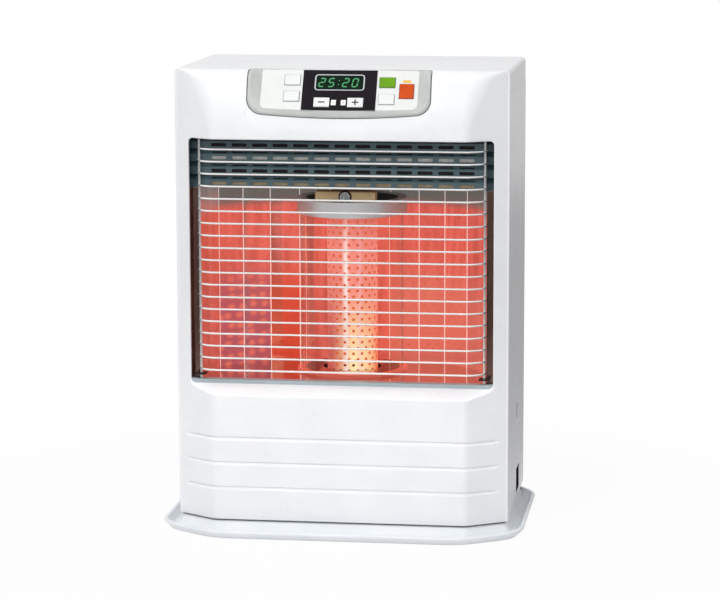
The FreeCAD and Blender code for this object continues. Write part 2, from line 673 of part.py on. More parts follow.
louvre_line = []
STEPS = int(worth("louvre_steps"))
for step in range(STEPS):
    low = f"{ROOF_TOP} + {step} * louvre_pitch"
    louvre_line += [
        (HEARTH, low),
        (HEARTH, f"{low} + louvre_face"),
        (f"{HEARTH} + louvre_depth", f"{low} + louvre_face + louvre_slope"),
    ]
LOUVRE_TOP = f"({ROOF_TOP} + louvre_steps * louvre_pitch)"
louvre_line += [(HEARTH, LOUVRE_TOP), (HEARTH, f"{LOUVRE_TOP} + louvre_flange")]
louvre_sheet = prism("louvre_sheet_metal", "x",
                     louvre_line + [(f"{y} + louvre_sheet", z) for y, z in reversed(louvre_line)],
                     f"-{INSIDE}", INSIDE)
SLOTS = int(worth("slot_count"))
louvre_slots = []
for step in range(STEPS):
    low = f"{ROOF_TOP} + {step} * louvre_pitch + (louvre_face - slot_height) / 2"
    for slot in range(SLOTS):
        left = f"({slot} - (slot_count - 1) / 2) * slot_pitch - slot_length / 2"
        louvre_slots.append(box(f"louvre_slot_{step + 1}_{slot + 1}", (left, f"{left} + slot_length"),
                                (f"{HEARTH} - louvre_sheet", f"{HEARTH} + louvre_sheet"),
                                (low, f"{low} + slot_height")))
keep(cut("louvre_panel", louvre_sheet, group("louvre_slots", *louvre_slots)))


# Wire guard: bent wires welded to two upright rods, and the plates that it hooks into

ROD = f"({FRONT} + rod_setback)"
ROD_PLACE = f"({HALF} - rod_inset)"
ROD_LOW = f"({TRIM_TOP} + clearance)"
ROD_TOP = f"({WINDOW_TOP} + rod_above)"
WIRE = f"({FRONT} + wire_setback)"
WIRE_LOW = f"({LEDGE_TOP} + wire_low)"
WIRE_BEND = f"({FLAT} + wire_bend)"
WIRE_REACH = f"({ROD_PLACE} + wire_tip)"
WIRES = f"(floor(({WINDOW_TOP} - {WIRE_LOW}) / wire_pitch) + 1)"
WIRE_END = f"({ROD} - rod_radius - wire_radius + weld_bite)"
WIRE_TIP = f"({WIRE} + ({WIRE_END} - {WIRE}) * ({WIRE_REACH} - {WIRE_BEND}) / ({ROD_PLACE} - {WIRE_BEND}))"
guard = doc.addObject("PartDesign::Body", "wire_guard")
rod_sketch = sketch_on(guard, "rod_sketch", "z", ROD_LOW)
circle(rod_sketch, f"-{ROD_PLACE}", ROD, "rod_radius")
circle(rod_sketch, ROD_PLACE, ROD, "rod_radius")
rods = guard.newObject("PartDesign::Pad", "guard_rods")
rods.Profile = rod_sketch
rods.setExpression("Length", bound(f"{ROD_TOP} - {ROD_LOW}"))
half_wires = []
for name, side in (("left", -1), ("right", 1)):
    spine = sketch_on(guard, f"{name}_wire_line", "z", WIRE_LOW)
    bend = (f"{side} * {WIRE_BEND}", WIRE)
    tip = (f"{side} * {WIRE_REACH}", WIRE_TIP)
    outline(spine, [("0", WIRE), bend, tip], closed=False)
    section = sketch_on(guard, f"{name}_wire_section", "x")
    circle(section, WIRE, WIRE_LOW, "wire_radius")
    wire = guard.newObject("PartDesign::AdditivePipe", f"{name}_wire")
    wire.Profile = section
    wire.Spine = (spine, [f"Edge{number}" for number in range(1, spine.GeometryCount + 1)])
    wire.Transition = "Right corner"
    half_wires.append(wire)
rows = guard.newObject("PartDesign::LinearPattern", "guard_rows")
rows.Originals = half_wires
rows.Direction = (origin_feature(guard, "Z_Axis"), [""])
rows.setExpression("Length", bound(f"({WIRES} - 1) * wire_pitch"))
rows.setExpression("Occurrences", bound(WIRES))
guard.Tip = rows
keep(guard)

hook_plates = []
for side in (-1, 1):
    for level, low in (("lower", f"{TRIM_TOP} + hook_rise"), ("upper", f"{WINDOW_TOP} + hook_rise")):
        middle = f"{side} * {ROD_PLACE}"
        name = f"{level}_hook_{'left' if side < 0 else 'right'}"
        plate = box(name + "_plate", (f"{middle} - hook_width / 2", f"{middle} + hook_width / 2"),
                    (f"{ROD} - hook_width / 2", HEARTH), (low, f"{low} + hook_sheet"))
        hole = cylinder(name + "_hole", "rod_radius + clearance", (middle, ROD, low), "hook_sheet")
        hook_plates.append(cut(name, plate, hole))
keep(group("guard_hooks", *hook_plates))


# Burner: pot under the shelf, glass cylinder between two rings, flame tube, cap and clamp

POT_LOW = f"({BASE} + pot_foot)"
POT_DEPTH = f"({SHELF} - {POT_LOW})"
GROOVE_IN = "(glass_radius - glass_wall - clearance)"
GROOVE_OUT = "(glass_radius + clearance)"
RING_IN = f"({GROOVE_IN} - ring_lap)"
TOP_RING = f"({ROOF} - ring_drop)"
TOP_RING_HIGH = f"({TOP_RING} + top_ring_height)"
COLLAR_IN = "(tube_radius + collar_gap)"
GLASS_LOW = f"({SHELF_TOP} + base_seat)"
GLASS_HIGH = f"({TOP_RING} + glass_seat)"
CAP = f"({TOP_RING_HIGH} - cap_sheet * 2)"
CAP_TOP = f"({CAP} + cap_sheet)"

igniter_spot = ("pot_radius - pot_wall", BURNER, f"{SHELF} - igniter_drop")
DUCT = f"({BASE} + blower_height)"


def igniter_rod(name):
    return cylinder(name, "igniter_radius", igniter_spot, "igniter_length", "x")


def pot_outside(name):
    return cylinder(name, "pot_radius", (*BURNER_SPOT, POT_LOW), POT_DEPTH)


def air_bore(name):
    return cylinder(name, "duct_radius - pipe_wall", ("-blower_place", BURNER, DUCT), "blower_place", "x")


pot_shell = turned("pot_shell", [
    ("0", "0"),
    ("pot_radius", "0"),
    ("pot_radius", f"{POT_DEPTH} - pot_wall"),
    ("pot_flange", f"{POT_DEPTH} - pot_wall"),
    ("pot_flange", POT_DEPTH),
    ("tube_radius - pot_rim", POT_DEPTH),
    ("tube_radius - pot_rim", f"{POT_DEPTH} - pot_wall"),
    ("pot_radius - pot_wall", f"{POT_DEPTH} - pot_wall"),
    ("pot_radius - pot_wall", "pot_wall"),
    ("0", "pot_wall"),
], *BURNER_SPOT, POT_LOW)
keep(cut("burner_pot", pot_shell, igniter_rod("igniter_hole"), air_bore("pot_air_hole")))
keep(igniter_rod("igniter"))

keep(turned("glass_base_ring", [
    (COLLAR_IN, "0"),
    (RING_OUT, "0"),
    (RING_OUT, "base_ring_height"),
    (GROOVE_OUT, "base_ring_height"),
    (GROOVE_OUT, "base_seat"),
    (GROOVE_IN, "base_seat"),
    (GROOVE_IN, "base_ring_height"),
    (COLLAR_IN, "base_ring_height"),
], *BURNER_SPOT, SHELF_TOP))
keep(cut("glass_cylinder",
         cylinder("glass_outside", "glass_radius", (*BURNER_SPOT, GLASS_LOW), f"{GLASS_HIGH} - {GLASS_LOW}"),
         cylinder("glass_inside", "glass_radius - glass_wall", (*BURNER_SPOT, GLASS_LOW),
                  f"{GLASS_HIGH} - {GLASS_LOW}")))
keep(turned("glass_top_ring", [
    (RING_IN, "0"),
    (GROOVE_IN, "0"),
    (GROOVE_IN, "glass_seat"),
    (GROOVE_OUT, "glass_seat"),
    (GROOVE_OUT, "0"),
    (RING_OUT, "0"),
    (RING_OUT, "top_ring_height"),
    (RING_IN, "top_ring_height"),
], *BURNER_SPOT, TOP_RING))
keep(cut("flame_tube",
         cylinder("tube_outside", "tube_radius", (*BURNER_SPOT, SHELF), f"{CAP} - {SHELF}"),
         cylinder("tube_inside", "tube_radius - tube_wall", (*BURNER_SPOT, SHELF), f"{CAP} - {SHELF}")))
keep(cut("flame_tube_cap",
         cylinder("cap_disc", RING_IN, (*BURNER_SPOT, CAP), "cap_sheet"),
         cylinder("cap_opening", "neck_radius - pipe_wall", (*BURNER_SPOT, CAP), "cap_sheet")))

CLAMP = f"({BURNER} - {RING_OUT} + clamp_setback)"
CLAMP_MIDDLE = f"({TOP_RING_HIGH} + clamp_height / 2)"
keep(box("clamp_block", ("-clamp_width / 2", "clamp_width / 2"),
         (CLAMP, f"{CLAMP} + clamp_depth"),
         (TOP_RING_HIGH, f"{TOP_RING_HIGH} + clamp_height")))
keep(cylinder("clamp_screw", "clamp_screw_radius",
              ("0", f"{CLAMP} - clamp_screw_head", CLAMP_MIDDLE), "clamp_screw_head", "y"))


# Heat exchanger on the roof, with the flue pipe that leaves through the rear panel

EXCHANGER = f"({BURNER} - exchanger_front)"
EXCHANGER_BACK = f"({EXCHANGER} + exchanger_depth)"
EXCHANGER_TOP = f"({ROOF_TOP} + exchanger_height)"
EXCHANGER_HALF = "(exchanger_width / 2)"
FLUE_HEIGHT = f"({ROOF_TOP} + exchanger_height / 2)"
FLUE_SPOT = ("flue_place", f"{EXCHANGER_BACK} - pipe_wall", FLUE_HEIGHT)
PIPE_END = f"({BACK} + rear_reach)"
FLUE_LENGTH = f"({PIPE_END} - {EXCHANGER_BACK} + pipe_wall)"
exchanger_outside = fuse(
    "exchanger_outside",
    box("exchanger_block", (f"-{EXCHANGER_HALF}", EXCHANGER_HALF), (EXCHANGER, EXCHANGER_BACK),
        (ROOF_TOP, EXCHANGER_TOP)),
    cylinder("exchanger_neck", "neck_radius", (*BURNER_SPOT, CAP_TOP), f"{ROOF_TOP} - {CAP_TOP} + pipe_wall"),
)
exchanger_inside = fuse(
    "exchanger_inside",
    box("exchanger_hollow", (f"pipe_wall - {EXCHANGER_HALF}", f"{EXCHANGER_HALF} - pipe_wall"),
        (f"{EXCHANGER} + pipe_wall", f"{EXCHANGER_BACK} - pipe_wall"),
        (f"{ROOF_TOP} + pipe_wall", f"{EXCHANGER_TOP} - pipe_wall")),
    cylinder("exchanger_throat", "neck_radius - pipe_wall", (*BURNER_SPOT, CAP_TOP),
             f"{ROOF_TOP} - {CAP_TOP} + 2 * pipe_wall"),
    cylinder("exchanger_outlet", "flue_radius", FLUE_SPOT, "pipe_wall", "y"),
)
keep(cut("heat_exchanger", exchanger_outside, exchanger_inside))
keep(cut("flue_pipe",
         fuse("flue_outside",
              cylinder("flue_barrel", "flue_radius", FLUE_SPOT, FLUE_LENGTH, "y"),
              cylinder("flue_collar", "flue_radius + collar_width", ("flue_place", BACK, FLUE_HEIGHT),
                       "collar_length", "y")),
         cylinder("flue_inside", "flue_radius - pipe_wall", FLUE_SPOT, FLUE_LENGTH, "y")))


# Combustion blower: housing on feet, impeller, motor, intake pipe and duct to the pot

BLOWER = f"({BURNER} - blower_front)"
BLOWER_BACK = f"({BLOWER} + blower_length)"
BLOWER_INSIDE = "(blower_radius - blower_wall)"
IMPELLER = "(blower_radius - blower_wall - impeller_gap)"
IMPELLER_FRONT = f"({BLOWER} + blower_wall + impeller_gap)"
IMPELLER_LENGTH = "(blower_length - 2 * (blower_wall + impeller_gap))"
INTAKE_LENGTH = f"({PIPE_END} - {BLOWER_BACK})"


def blower_spot(y):
    return ("-blower_place", y, DUCT)


def blower_outside(name):
    return cylinder(name, "blower_radius", blower_spot(BLOWER), "blower_length", "y")


housing_block = fuse(
    "housing_block",
    blower_outside("housing_outside"),
    box("housing_feet", ("-blower_place - blower_radius / 2", "blower_radius / 2 - blower_place"),
        (BLOWER, BLOWER_BACK), (BASE, DUCT)),
)
keep(cut("blower_housing", housing_block,
         cylinder("housing_inside", BLOWER_INSIDE, blower_spot(f"{BLOWER} + blower_wall"),
                  "blower_length - 2 * blower_wall", "y"),
         cylinder("housing_inlet", "intake_radius - pipe_wall", blower_spot(f"{BLOWER_BACK} - blower_wall"),
                  "blower_wall", "y"),
         cylinder("housing_shaft_hole", "shaft_radius * 2", blower_spot(BLOWER), "blower_wall", "y"),
         box("housing_foot_gap", ("-blower_place - blower_radius / 4", "blower_radius / 4 - blower_place"),
             (BLOWER, BLOWER_BACK), (BASE, f"{DUCT} - blower_radius")),
         air_bore("housing_air_hole")))
VANES = int(worth("blower_vanes"))
impeller_axis = V(worth("-blower_place"), worth(IMPELLER_FRONT), worth(DUCT))
impeller_pieces = [
    cylinder("impeller_disc", IMPELLER, blower_spot(IMPELLER_FRONT), "blower_wall * 2", "y"),
    cylinder("impeller_shaft", "shaft_radius", blower_spot(f"{BLOWER} - shaft_reach"),
             f"{IMPELLER_FRONT} - {BLOWER} + shaft_reach", "y"),
]
for vane in range(VANES):
    blade = doc.addObject("Part::Box", f"impeller_vane_{vane + 1}")
    blade.setExpression("Length", bound("vane_depth"))
    blade.setExpression("Width", bound(IMPELLER_LENGTH))
    blade.setExpression("Height", bound("blower_wall"))
    turn = FreeCAD.Rotation(V(0, 1, 0), 360 / VANES * vane)
    corner = V(worth(f"{IMPELLER} - vane_depth"), 0, 0)
    blade.Placement = FreeCAD.Placement(impeller_axis + turn.multVec(corner), turn)
    impeller_pieces.append(blade)
keep(fuse("blower_impeller", *impeller_pieces))
keep(cut("blower_motor",
         cylinder("blower_motor_can", "motor_radius", blower_spot(f"{BLOWER} - motor_length"),
                  "motor_length", "y"),
         cylinder("blower_motor_bore", "shaft_radius + shaft_gap",
                  blower_spot(f"{BLOWER} - shaft_reach - clearance"), "shaft_reach + clearance", "y")))
keep(cut("air_intake_pipe",
         fuse("intake_outside",
              cylinder("intake_barrel", "intake_radius", blower_spot(BLOWER_BACK), INTAKE_LENGTH, "y"),
              cylinder("intake_collar", "intake_radius + collar_width", blower_spot(BACK),
                       "collar_length", "y")),
         cylinder("intake_inside", "intake_radius - pipe_wall", blower_spot(BLOWER_BACK),
                  INTAKE_LENGTH, "y")))
keep(cut("air_duct",
         cylinder("duct_outside", "duct_radius", ("-blower_place", BURNER, DUCT), "blower_place", "x"),
         air_bore("duct_inside"), blower_outside("duct_housing_end"), pot_outside("duct_pot_end")))


# Convection fan on a bracket in front of the rear opening, with its motor and guard

BLADES = int(worth("fan_blades"))
fan_axis = FreeCAD.Placement(V(0, worth(f"({FAN_FRONT} + {FAN_BACK}) / 2"), worth(FAN)), FreeCAD.Rotation())
fan_pieces = [
    cylinder("fan_hub_core", "fan_hub", ("0", FAN_FRONT, FAN), "fan_depth", "y"),
    cylinder("fan_shaft", "shaft_radius", ("0", f"{BRACKET_FRONT} - shaft_reach", FAN),
             f"{FAN_FRONT} - {BRACKET_FRONT} + shaft_reach", "y"),
]
for number in range(BLADES):
    blade = doc.addObject("Part::Box", f"fan_blade_{number + 1}")
    blade.setExpression("Length", bound("fan_radius - fan_hub / 2"))
    blade.setExpression("Width", bound("blade_thickness"))
    blade.setExpression("Height", bound("blade_chord"))
    corner = V(worth("fan_hub / 2"), worth("-blade_thickness / 2"), worth("-blade_chord / 2"))
    round_hub = FreeCAD.Placement(V(), FreeCAD.Rotation(V(0, 1, 0), 360 / BLADES * number))
    pitched = FreeCAD.Placement(V(), FreeCAD.Rotation(V(1, 0, 0), worth("blade_pitch")))
    blade.Placement = fan_axis * round_hub * pitched * FreeCAD.Placement(corner, FreeCAD.Rotation())
    fan_pieces.append(blade)
keep(fuse("convection_fan", *fan_pieces))
keep(cut("fan_motor",
         cylinder("fan_motor_can", "motor_radius", ("0", MOTOR, FAN), "motor_length", "y"),
         cylinder("fan_motor_bore", "shaft_radius + shaft_gap",
                  ("0", f"{BRACKET_FRONT} - shaft_reach - clearance", FAN), "shaft_reach + clearance", "y")))
bracket_bar = (f"{FAN} - bracket_width / 2", f"{FAN} + bracket_width / 2")
keep(cut("fan_bracket",
         fuse("bracket_whole",
              box("bracket_bar", ("-bracket_reach", "bracket_reach"), (BRACKET_FRONT, BRACKET), bracket_bar),
              box("bracket_left_leg", ("-bracket_reach", "bracket_sheet - bracket_reach"),
                  (BRACKET_FRONT, REAR), bracket_bar),
              box("bracket_right_leg", ("bracket_reach - bracket_sheet", "bracket_reach"),
                  (BRACKET_FRONT, REAR), bracket_bar)),
         cylinder("bracket_hole", "shaft_radius * 2", ("0", BRACKET_FRONT, FAN), "bracket_sheet", "y")))

GUARD_RINGS = 3
GUARD = f"({BACK} + guard_standoff)"
GUARD_REACH = "(fan_opening + guard_wire * 3)"
guard_pieces = []
for ring in range(1, GUARD_RINGS + 1):
    hoop = doc.addObject("Part::Torus", f"rear_guard_ring_{ring}")
    hoop.setExpression("Radius1", bound(f"fan_opening * {ring} / {GUARD_RINGS}"))
    hoop.setExpression("Radius2", bound("guard_wire"))
    guard_pieces.append(place(hoop, "0", GUARD, FAN, TURNS["y"]))
guard_pieces.append(cylinder("rear_guard_bar", "guard_wire", (f"-{GUARD_REACH}", GUARD, FAN),
                             f"2 * {GUARD_REACH}", "x"))
guard_pieces.append(cylinder("rear_guard_post", "guard_wire", ("0", GUARD, f"{FAN} - {GUARD_REACH}"),
                             f"2 * {GUARD_REACH}", "z"))
for number, (x, z) in enumerate(((f"-{GUARD_REACH}", FAN), (GUARD_REACH, FAN),
                                 ("0", f"{FAN} - {GUARD_REACH}"), ("0", f"{FAN} + {GUARD_REACH}")), 1):
    guard_pieces.append(cylinder(f"rear_guard_leg_{number}", "guard_wire", (x, BACK, z),
                                 "guard_standoff + guard_wire", "y"))
keep(fuse("rear_fan_guard", *guard_pieces))


# Fuel: leveller with its reset lever, inlet nipple, pump and pipes

LEVELLER_RIGHT = f"({INSIDE} - leveller_gap)"
LEVELLER_LEFT = f"({LEVELLER_RIGHT} - leveller_width)"
LEVELLER = f"({FRONT} + leveller_setback)"
LEVELLER_BACK = f"({LEVELLER} + leveller_depth)"
PIVOT = f"({LEVELLER_RIGHT} + lever_pin * 2)"
LEVER_HALF = "(lever_width / 2)"
LEVER_HEIGHT = "(cab_lift + lever_height)"
EAR_IN = f"({LEVER_HALF} + clearance)"
EAR_OUT = f"({LEVER_HALF} + clearance + lever_thickness)"
ears = []
for name, side in (("front", -1), ("rear", 1)):
    near, far = f"{LEVER} + {side} * {EAR_IN}", f"{LEVER} + {side} * {EAR_OUT}"
    ears.append(box(f"{name}_ear", (LEVELLER_RIGHT, f"{PIVOT} + lever_pin * 2"),
                    (near, far) if side > 0 else (far, near),
                    (f"{LEVER_HEIGHT} - lever_thickness", f"{LEVER_HEIGHT} + lever_thickness")))
leveller_case = box("leveller_case", (LEVELLER_LEFT, LEVELLER_RIGHT), (LEVELLER, LEVELLER_BACK),
                    (BASE, f"{BASE} + leveller_height"))
keep(cut("fuel_leveller", fuse("leveller_whole", leveller_case, *ears),
         cylinder("ear_bore", "lever_pin + shaft_gap", (PIVOT, f"{LEVER} - {EAR_OUT}", LEVER_HEIGHT),
                  f"2 * {EAR_OUT}", "y")))
keep(fuse("reset_lever",
          box("lever_arm", (f"{PIVOT} - lever_thickness / 2", f"{PIVOT} + lever_length"),
              (f"{LEVER} - {LEVER_HALF}", f"{LEVER} + {LEVER_HALF}"),
              (f"{LEVER_HEIGHT} - lever_thickness / 2", f"{LEVER_HEIGHT} + lever_thickness / 2")),
          cylinder("lever_pivot_pin", "lever_pin", (PIVOT, f"{LEVER} - {EAR_OUT}", LEVER_HEIGHT),
                   f"2 * {EAR_OUT}", "y")))

FUEL_SPOT = (f"({LEVELLER_LEFT} + {LEVELLER_RIGHT}) / 2", LEVELLER_BACK, f"{BASE} + fuel_height")
FUEL_LENGTH = f"({BACK} + fuel_reach - {LEVELLER_BACK})"
keep(cut("fuel_inlet",
         fuse("nipple_outside",
              cylinder("nipple_barrel", "fuel_radius", FUEL_SPOT, FUEL_LENGTH, "y"),
              cylinder("nipple_collar", "fuel_radius + collar_width", (FUEL_SPOT[0], BACK, FUEL_SPOT[2]),
                       "collar_length", "y")),
         cylinder("nipple_bore", "fuel_bore", FUEL_SPOT, FUEL_LENGTH, "y")))

PUMP = f"({FRONT} + pump_setback)"
FEED_LOW = f"({BASE} + supply_rise)"
FEED_HIGH = f"({BASE} + pump_length - fuel_pipe * 2)"


def pump_body(name):
    return cylinder(name, "pump_radius", ("pump_place", PUMP, BASE), "pump_length")


keep(pump_body("fuel_pump"))
elbow = doc.addObject("Part::Sphere", "fuel_elbow")
elbow.setExpression("Radius", bound("fuel_pipe"))
place(elbow, "pump_place", BURNER, FEED_HIGH)
supply_pipe = cut("supply_pipe",
                  cylinder("supply_rod", "fuel_pipe", ("pump_place", PUMP, FEED_LOW),
                           f"{LEVELLER_LEFT} - pump_place", "x"),
                  pump_body("supply_pump_end"))
burner_pipe = cut("burner_pipe",
                  fuse("burner_rods",
                       cylinder("burner_rod_long", "fuel_pipe", ("pump_place", BURNER, FEED_HIGH),
                                f"{PUMP} - {BURNER}", "y"),
                       elbow,
                       cylinder("burner_rod_short", "fuel_pipe", ("0", BURNER, FEED_HIGH),
                                "pump_place", "x")),
                  pump_body("burner_pump_end"), pot_outside("burner_pot_end"))
keep(group("fuel_pipes", supply_pipe, burner_pipe))


# Electrical pieces on the base plate, and the cord gland

keep(box("power_unit", ("power_place - power_width / 2", "power_place + power_width / 2"),
         (f"{FRONT} + power_setback", f"{FRONT} + power_setback + power_depth"),
         (BASE, f"{BASE} + power_height")))
keep(box("tip_over_switch", ("-tilt_place - tilt_size / 2", "tilt_size / 2 - tilt_place"),
         (f"{FRONT} + tilt_setback", f"{FRONT} + tilt_setback + tilt_size"), (BASE, f"{BASE} + tilt_height")))
GLAND_X = f"(gland_inset - {INSIDE})"
GLAND_HEIGHT = "(cab_lift + gland_height)"
GLAND_SPOT = (GLAND_X, REAR, GLAND_HEIGHT)
keep(cut("cord_gland",
         fuse("gland_whole",
              cylinder("gland_neck", "gland_stub", GLAND_SPOT, "sheet + gland_reach", "y"),
              cylinder("gland_collar", "gland_radius", (GLAND_X, BACK, GLAND_HEIGHT), "gland_reach", "y")),
         cylinder("gland_hole", "gland_bore", GLAND_SPOT, "sheet + gland_reach", "y")))


# Rear panel with its openings, and its screws

def rear_hole(name, radius, x, z):
    return cylinder(name, radius, (x, REAR, z), "sheet", "y")


keep(cut("rear_panel",
         box("rear_sheet_metal", (f"-{INSIDE}", INSIDE), (REAR, BACK), (FOOT, SIDE_TOP)),
         rear_hole("rear_fan_hole", "fan_opening", "0", FAN),
         rear_hole("rear_flue_hole", "flue_radius + clearance", "flue_place", FLUE_HEIGHT),
         rear_hole("rear_intake_hole", "intake_radius + clearance", "-blower_place", DUCT),
         rear_hole("rear_fuel_hole", "fuel_radius + clearance", FUEL_SPOT[0], FUEL_SPOT[2]),
         rear_hole("rear_cord_hole", "gland_stub", GLAND_X, GLAND_HEIGHT)))
SCREW_ROWS = int(worth(f"({SIDE_TOP} - {FOOT} - screw_low) / screw_pitch")) + 1
screws = []
for side, word in ((-1, "left"), (1, "right")):
    for level in range(SCREW_ROWS):
        screws.append(cylinder(f"{word}_screw_{level + 1}", "screw_radius",
                               (f"{side} * ({INSIDE} - screw_inset)", BACK,
                                f"cab_lift + screw_low + {level} * screw_pitch"), "screw_head", "y"))
keep(group("panel_screws", *screws))


# Control panel: bezel in the header, fascia, display, buttons, lenses and board
# Its own directions: across, up the slope of the fascia, and out of its face

FASCIA_Y = f"({FRONT} + fascia_setback)"
FASCIA_Z = f"({TOP} - fascia_drop)"
FASCIA_HALF = "(bezel_width / 2 - bezel_flare)"
SIN = "sin(fascia_lean)"
COS = "cos(fascia_lean)"
FACE_TURN = FreeCAD.Rotation(V(1, 0, 0), 90 - worth("fascia_lean"))
CAVITY_TURN = FreeCAD.Rotation(V(1, 0, 0), 180 - worth("fascia_lean"))
BEHIND = "(fascia_plate + bezel_floor)"
FASCIA_TALL = f"((fascia_drop - fascia_top) / {COS})"
DISPLAY_HALF = f"({FASCIA_HALF} - display_inset)"
BOARD_HALF = f"({FASCIA_HALF} - board_inset)"
KEY_PLACE = "(lens_place + lens_wide / 2 + key_gap + key_wide / 2)"
SIDE_PLACE = f"({DISPLAY_HALF} + side_gap + side_wide / 2)"
POWER_PLACE = f"({FASCIA_HALF} - power_gap - power_button_wide / 2)"
LAMP_UP = "(power_button_up + power_button_tall / 2 + lamp_gap + lamp_tall / 2)"


def on_face(up, out):
    """The y and z of a point so far up the fascia and so far out of its face."""
    return (f"{FASCIA_Y} + ({up}) * {SIN} - ({out}) * {COS}",
            f"{FASCIA_Z} + ({up}) * {COS} + ({out}) * {SIN}")


def face_box(name, across, up, out):
    shape = doc.addObject("Part::Box", name)
    for side, (low, high) in zip(("Length", "Width", "Height"), (across, up, out)):
        shape.setExpression(side, bound(f"({high}) - ({low})"))
    return place(shape, across[0], *on_face(up[0], out[0]), FACE_TURN)


def face_block(name, spot, size, out, grow="0"):
    """A block on the fascia round a middle point, grown all round by a clearance."""
    x, up = spot
    wide, tall = size
    return face_box(name, (f"{x} - ({wide}) / 2 - {grow}", f"{x} + ({wide}) / 2 + {grow}"),
                    (f"{up} - ({tall}) / 2 - {grow}", f"{up} + ({tall}) / 2 + {grow}"), out)


bezel_back_y, bezel_back_z = on_face("bezel_ledge", f"-{BEHIND}")
bezel_seam_z = on_face(f"(flank_depth - fascia_setback - {BEHIND} * {COS}) / {SIN}", f"-{BEHIND}")[1]
BEZEL_LOW = f"{TOP} - bezel_drop + clearance"
bezel_profile = prism("bezel_profile", "x", [
    (FRONT, BEZEL_LOW),
    (FRONT, f"{TOP} - header_height"),
    (f"{FRONT} + header_lean", TOP),
    (SEAM, TOP),
    (SEAM, bezel_seam_z),
    (bezel_back_y, bezel_back_z),
    (bezel_back_y, BEZEL_LOW),
], "clearance - bezel_width / 2", "bezel_width / 2 - clearance")
bezel_block = fillet("bezel_block", bezel_profile, HEADER_ROUND, header_edge("header_lean", TOP))
cavity = doc.addObject("Part::Wedge", "bezel_cavity")
for side, formula in {
    "Xmin": f"-{FASCIA_HALF}", "Xmax": FASCIA_HALF,
    "X2min": f"-{FASCIA_HALF} - bezel_flare", "X2max": f"{FASCIA_HALF} + bezel_flare",
    "Ymin": "0", "Ymax": "bezel_rim",
    "Zmin": f"-{FASCIA_TALL} - header_radius", "Zmax": "clearance",
    "Z2min": f"-{FASCIA_TALL} - header_radius", "Z2max": "clearance + bezel_flare_low",
}.items():
    cavity.setExpression(side, bound(formula))
place(cavity, "0", FASCIA_Y, FASCIA_Z, CAVITY_TURN)
bezel_pocket = face_box("bezel_pocket", (f"-{FASCIA_HALF}", FASCIA_HALF),
                        ("-clearance", f"{FASCIA_TALL} + header_radius"), ("-fascia_plate", "clearance"))
bezel_opening = face_box("bezel_opening", (f"bezel_ledge - {FASCIA_HALF}", f"{FASCIA_HALF} - bezel_ledge"),
                         ("bezel_ledge", f"{FASCIA_TALL} - bezel_ledge"),
                         (f"-{BEHIND} - {SPARE}", "clearance"))
keep(cut("control_bezel", bezel_block, cavity, bezel_pocket, bezel_opening))

KEY = ("key_wide", "key_tall")
SIDE_KEY = ("side_wide", "side_tall")
buttons = {
    "minus_button": ((f"-{KEY_PLACE}", "key_up"), KEY),
    "plus_button": ((KEY_PLACE, "key_up"), KEY),
    "left_upper_button": ((f"-{SIDE_PLACE}", "left_upper_up"), SIDE_KEY),
    "left_lower_button": ((f"-{SIDE_PLACE}", "left_lower_up"), SIDE_KEY),
    "right_upper_button": ((SIDE_PLACE, "right_upper_up"), SIDE_KEY),
    "right_lower_button": ((SIDE_PLACE, "right_lower_up"), SIDE_KEY),
    "power_button": ((POWER_PLACE, "power_button_up"), ("power_button_wide", "power_button_tall")),
}
lenses = {
    "left_lens": (("-lens_place", "key_up"), ("lens_wide", "lens_tall"), "display_plate + lens_proud"),
    "right_lens": (("lens_place", "key_up"), ("lens_wide", "lens_tall"), "display_plate + lens_proud"),
    "power_lamp": ((POWER_PLACE, LAMP_UP), ("lamp_wide", "lamp_tall"), "lens_proud"),
}
BOARD_FRONT = "(-fascia_plate - board_gap)"
BOARD_BACK = "(-fascia_plate - board_gap - board_plate)"
BUTTON_BACK = "(-fascia_plate - button_stem)"
display_keys = ("minus_button", "plus_button")
display_lenses = ("left_lens", "right_lens")
fascia_holes = [
    face_block(name + "_hole", spot, size, ("-fascia_plate", "0"), "clearance")
    for name, (spot, size) in buttons.items()
]
fascia_holes += [
    face_block(name + "_hole", spot, size, ("-fascia_plate", "0"))
    for name, (spot, size, proud) in lenses.items()
]
posts = []
for across in (f"post_radius * 2 - {BOARD_HALF}", f"{BOARD_HALF} - post_radius * 2"):
    for up in ("board_low + post_radius * 2", "board_low + board_tall - post_radius * 2"):
        post = cylinder(f"post_{len(posts) + 1}", "post_radius", ("0", "0", "0"),
                        "board_gap + fascia_plate / 2")
        posts.append(place(post, across, *on_face(up, BOARD_FRONT), FACE_TURN))
fascia_sheet = face_box("fascia_sheet", (f"clearance - {FASCIA_HALF}", f"{FASCIA_HALF} - clearance"),
                        ("0", FASCIA_TALL), ("-fascia_plate", "0"))
keep(cut("control_fascia", fuse("fascia_whole", fascia_sheet, *posts), *fascia_holes))
keep(cut("display_panel",
         face_box("display_sheet", (f"-{DISPLAY_HALF}", DISPLAY_HALF), ("0", FASCIA_TALL),
                  ("0", "display_plate")),
         *[face_block(f"{name}_window", *buttons[name], ("0", "display_plate"), "clearance")
           for name in display_keys],
         *[face_block(f"{name}_window", *lenses[name][:2], ("0", "display_plate"))
           for name in display_lenses]))
keep(face_box("display_pane", ("-pane_half", "pane_half"), ("pane_low", "pane_low + pane_tall"),
              ("display_plate", "display_plate + pane_plate")))
for name, (spot, size) in buttons.items():
    proud = "display_plate + button_proud" if name in display_keys else "button_proud"
    keep(face_block(name, spot, size, (BUTTON_BACK, proud)))
keep(group("indicator_lenses", *[
    face_block(name, spot, size, ("-lens_depth", proud)) for name, (spot, size, proud) in lenses.items()
]))
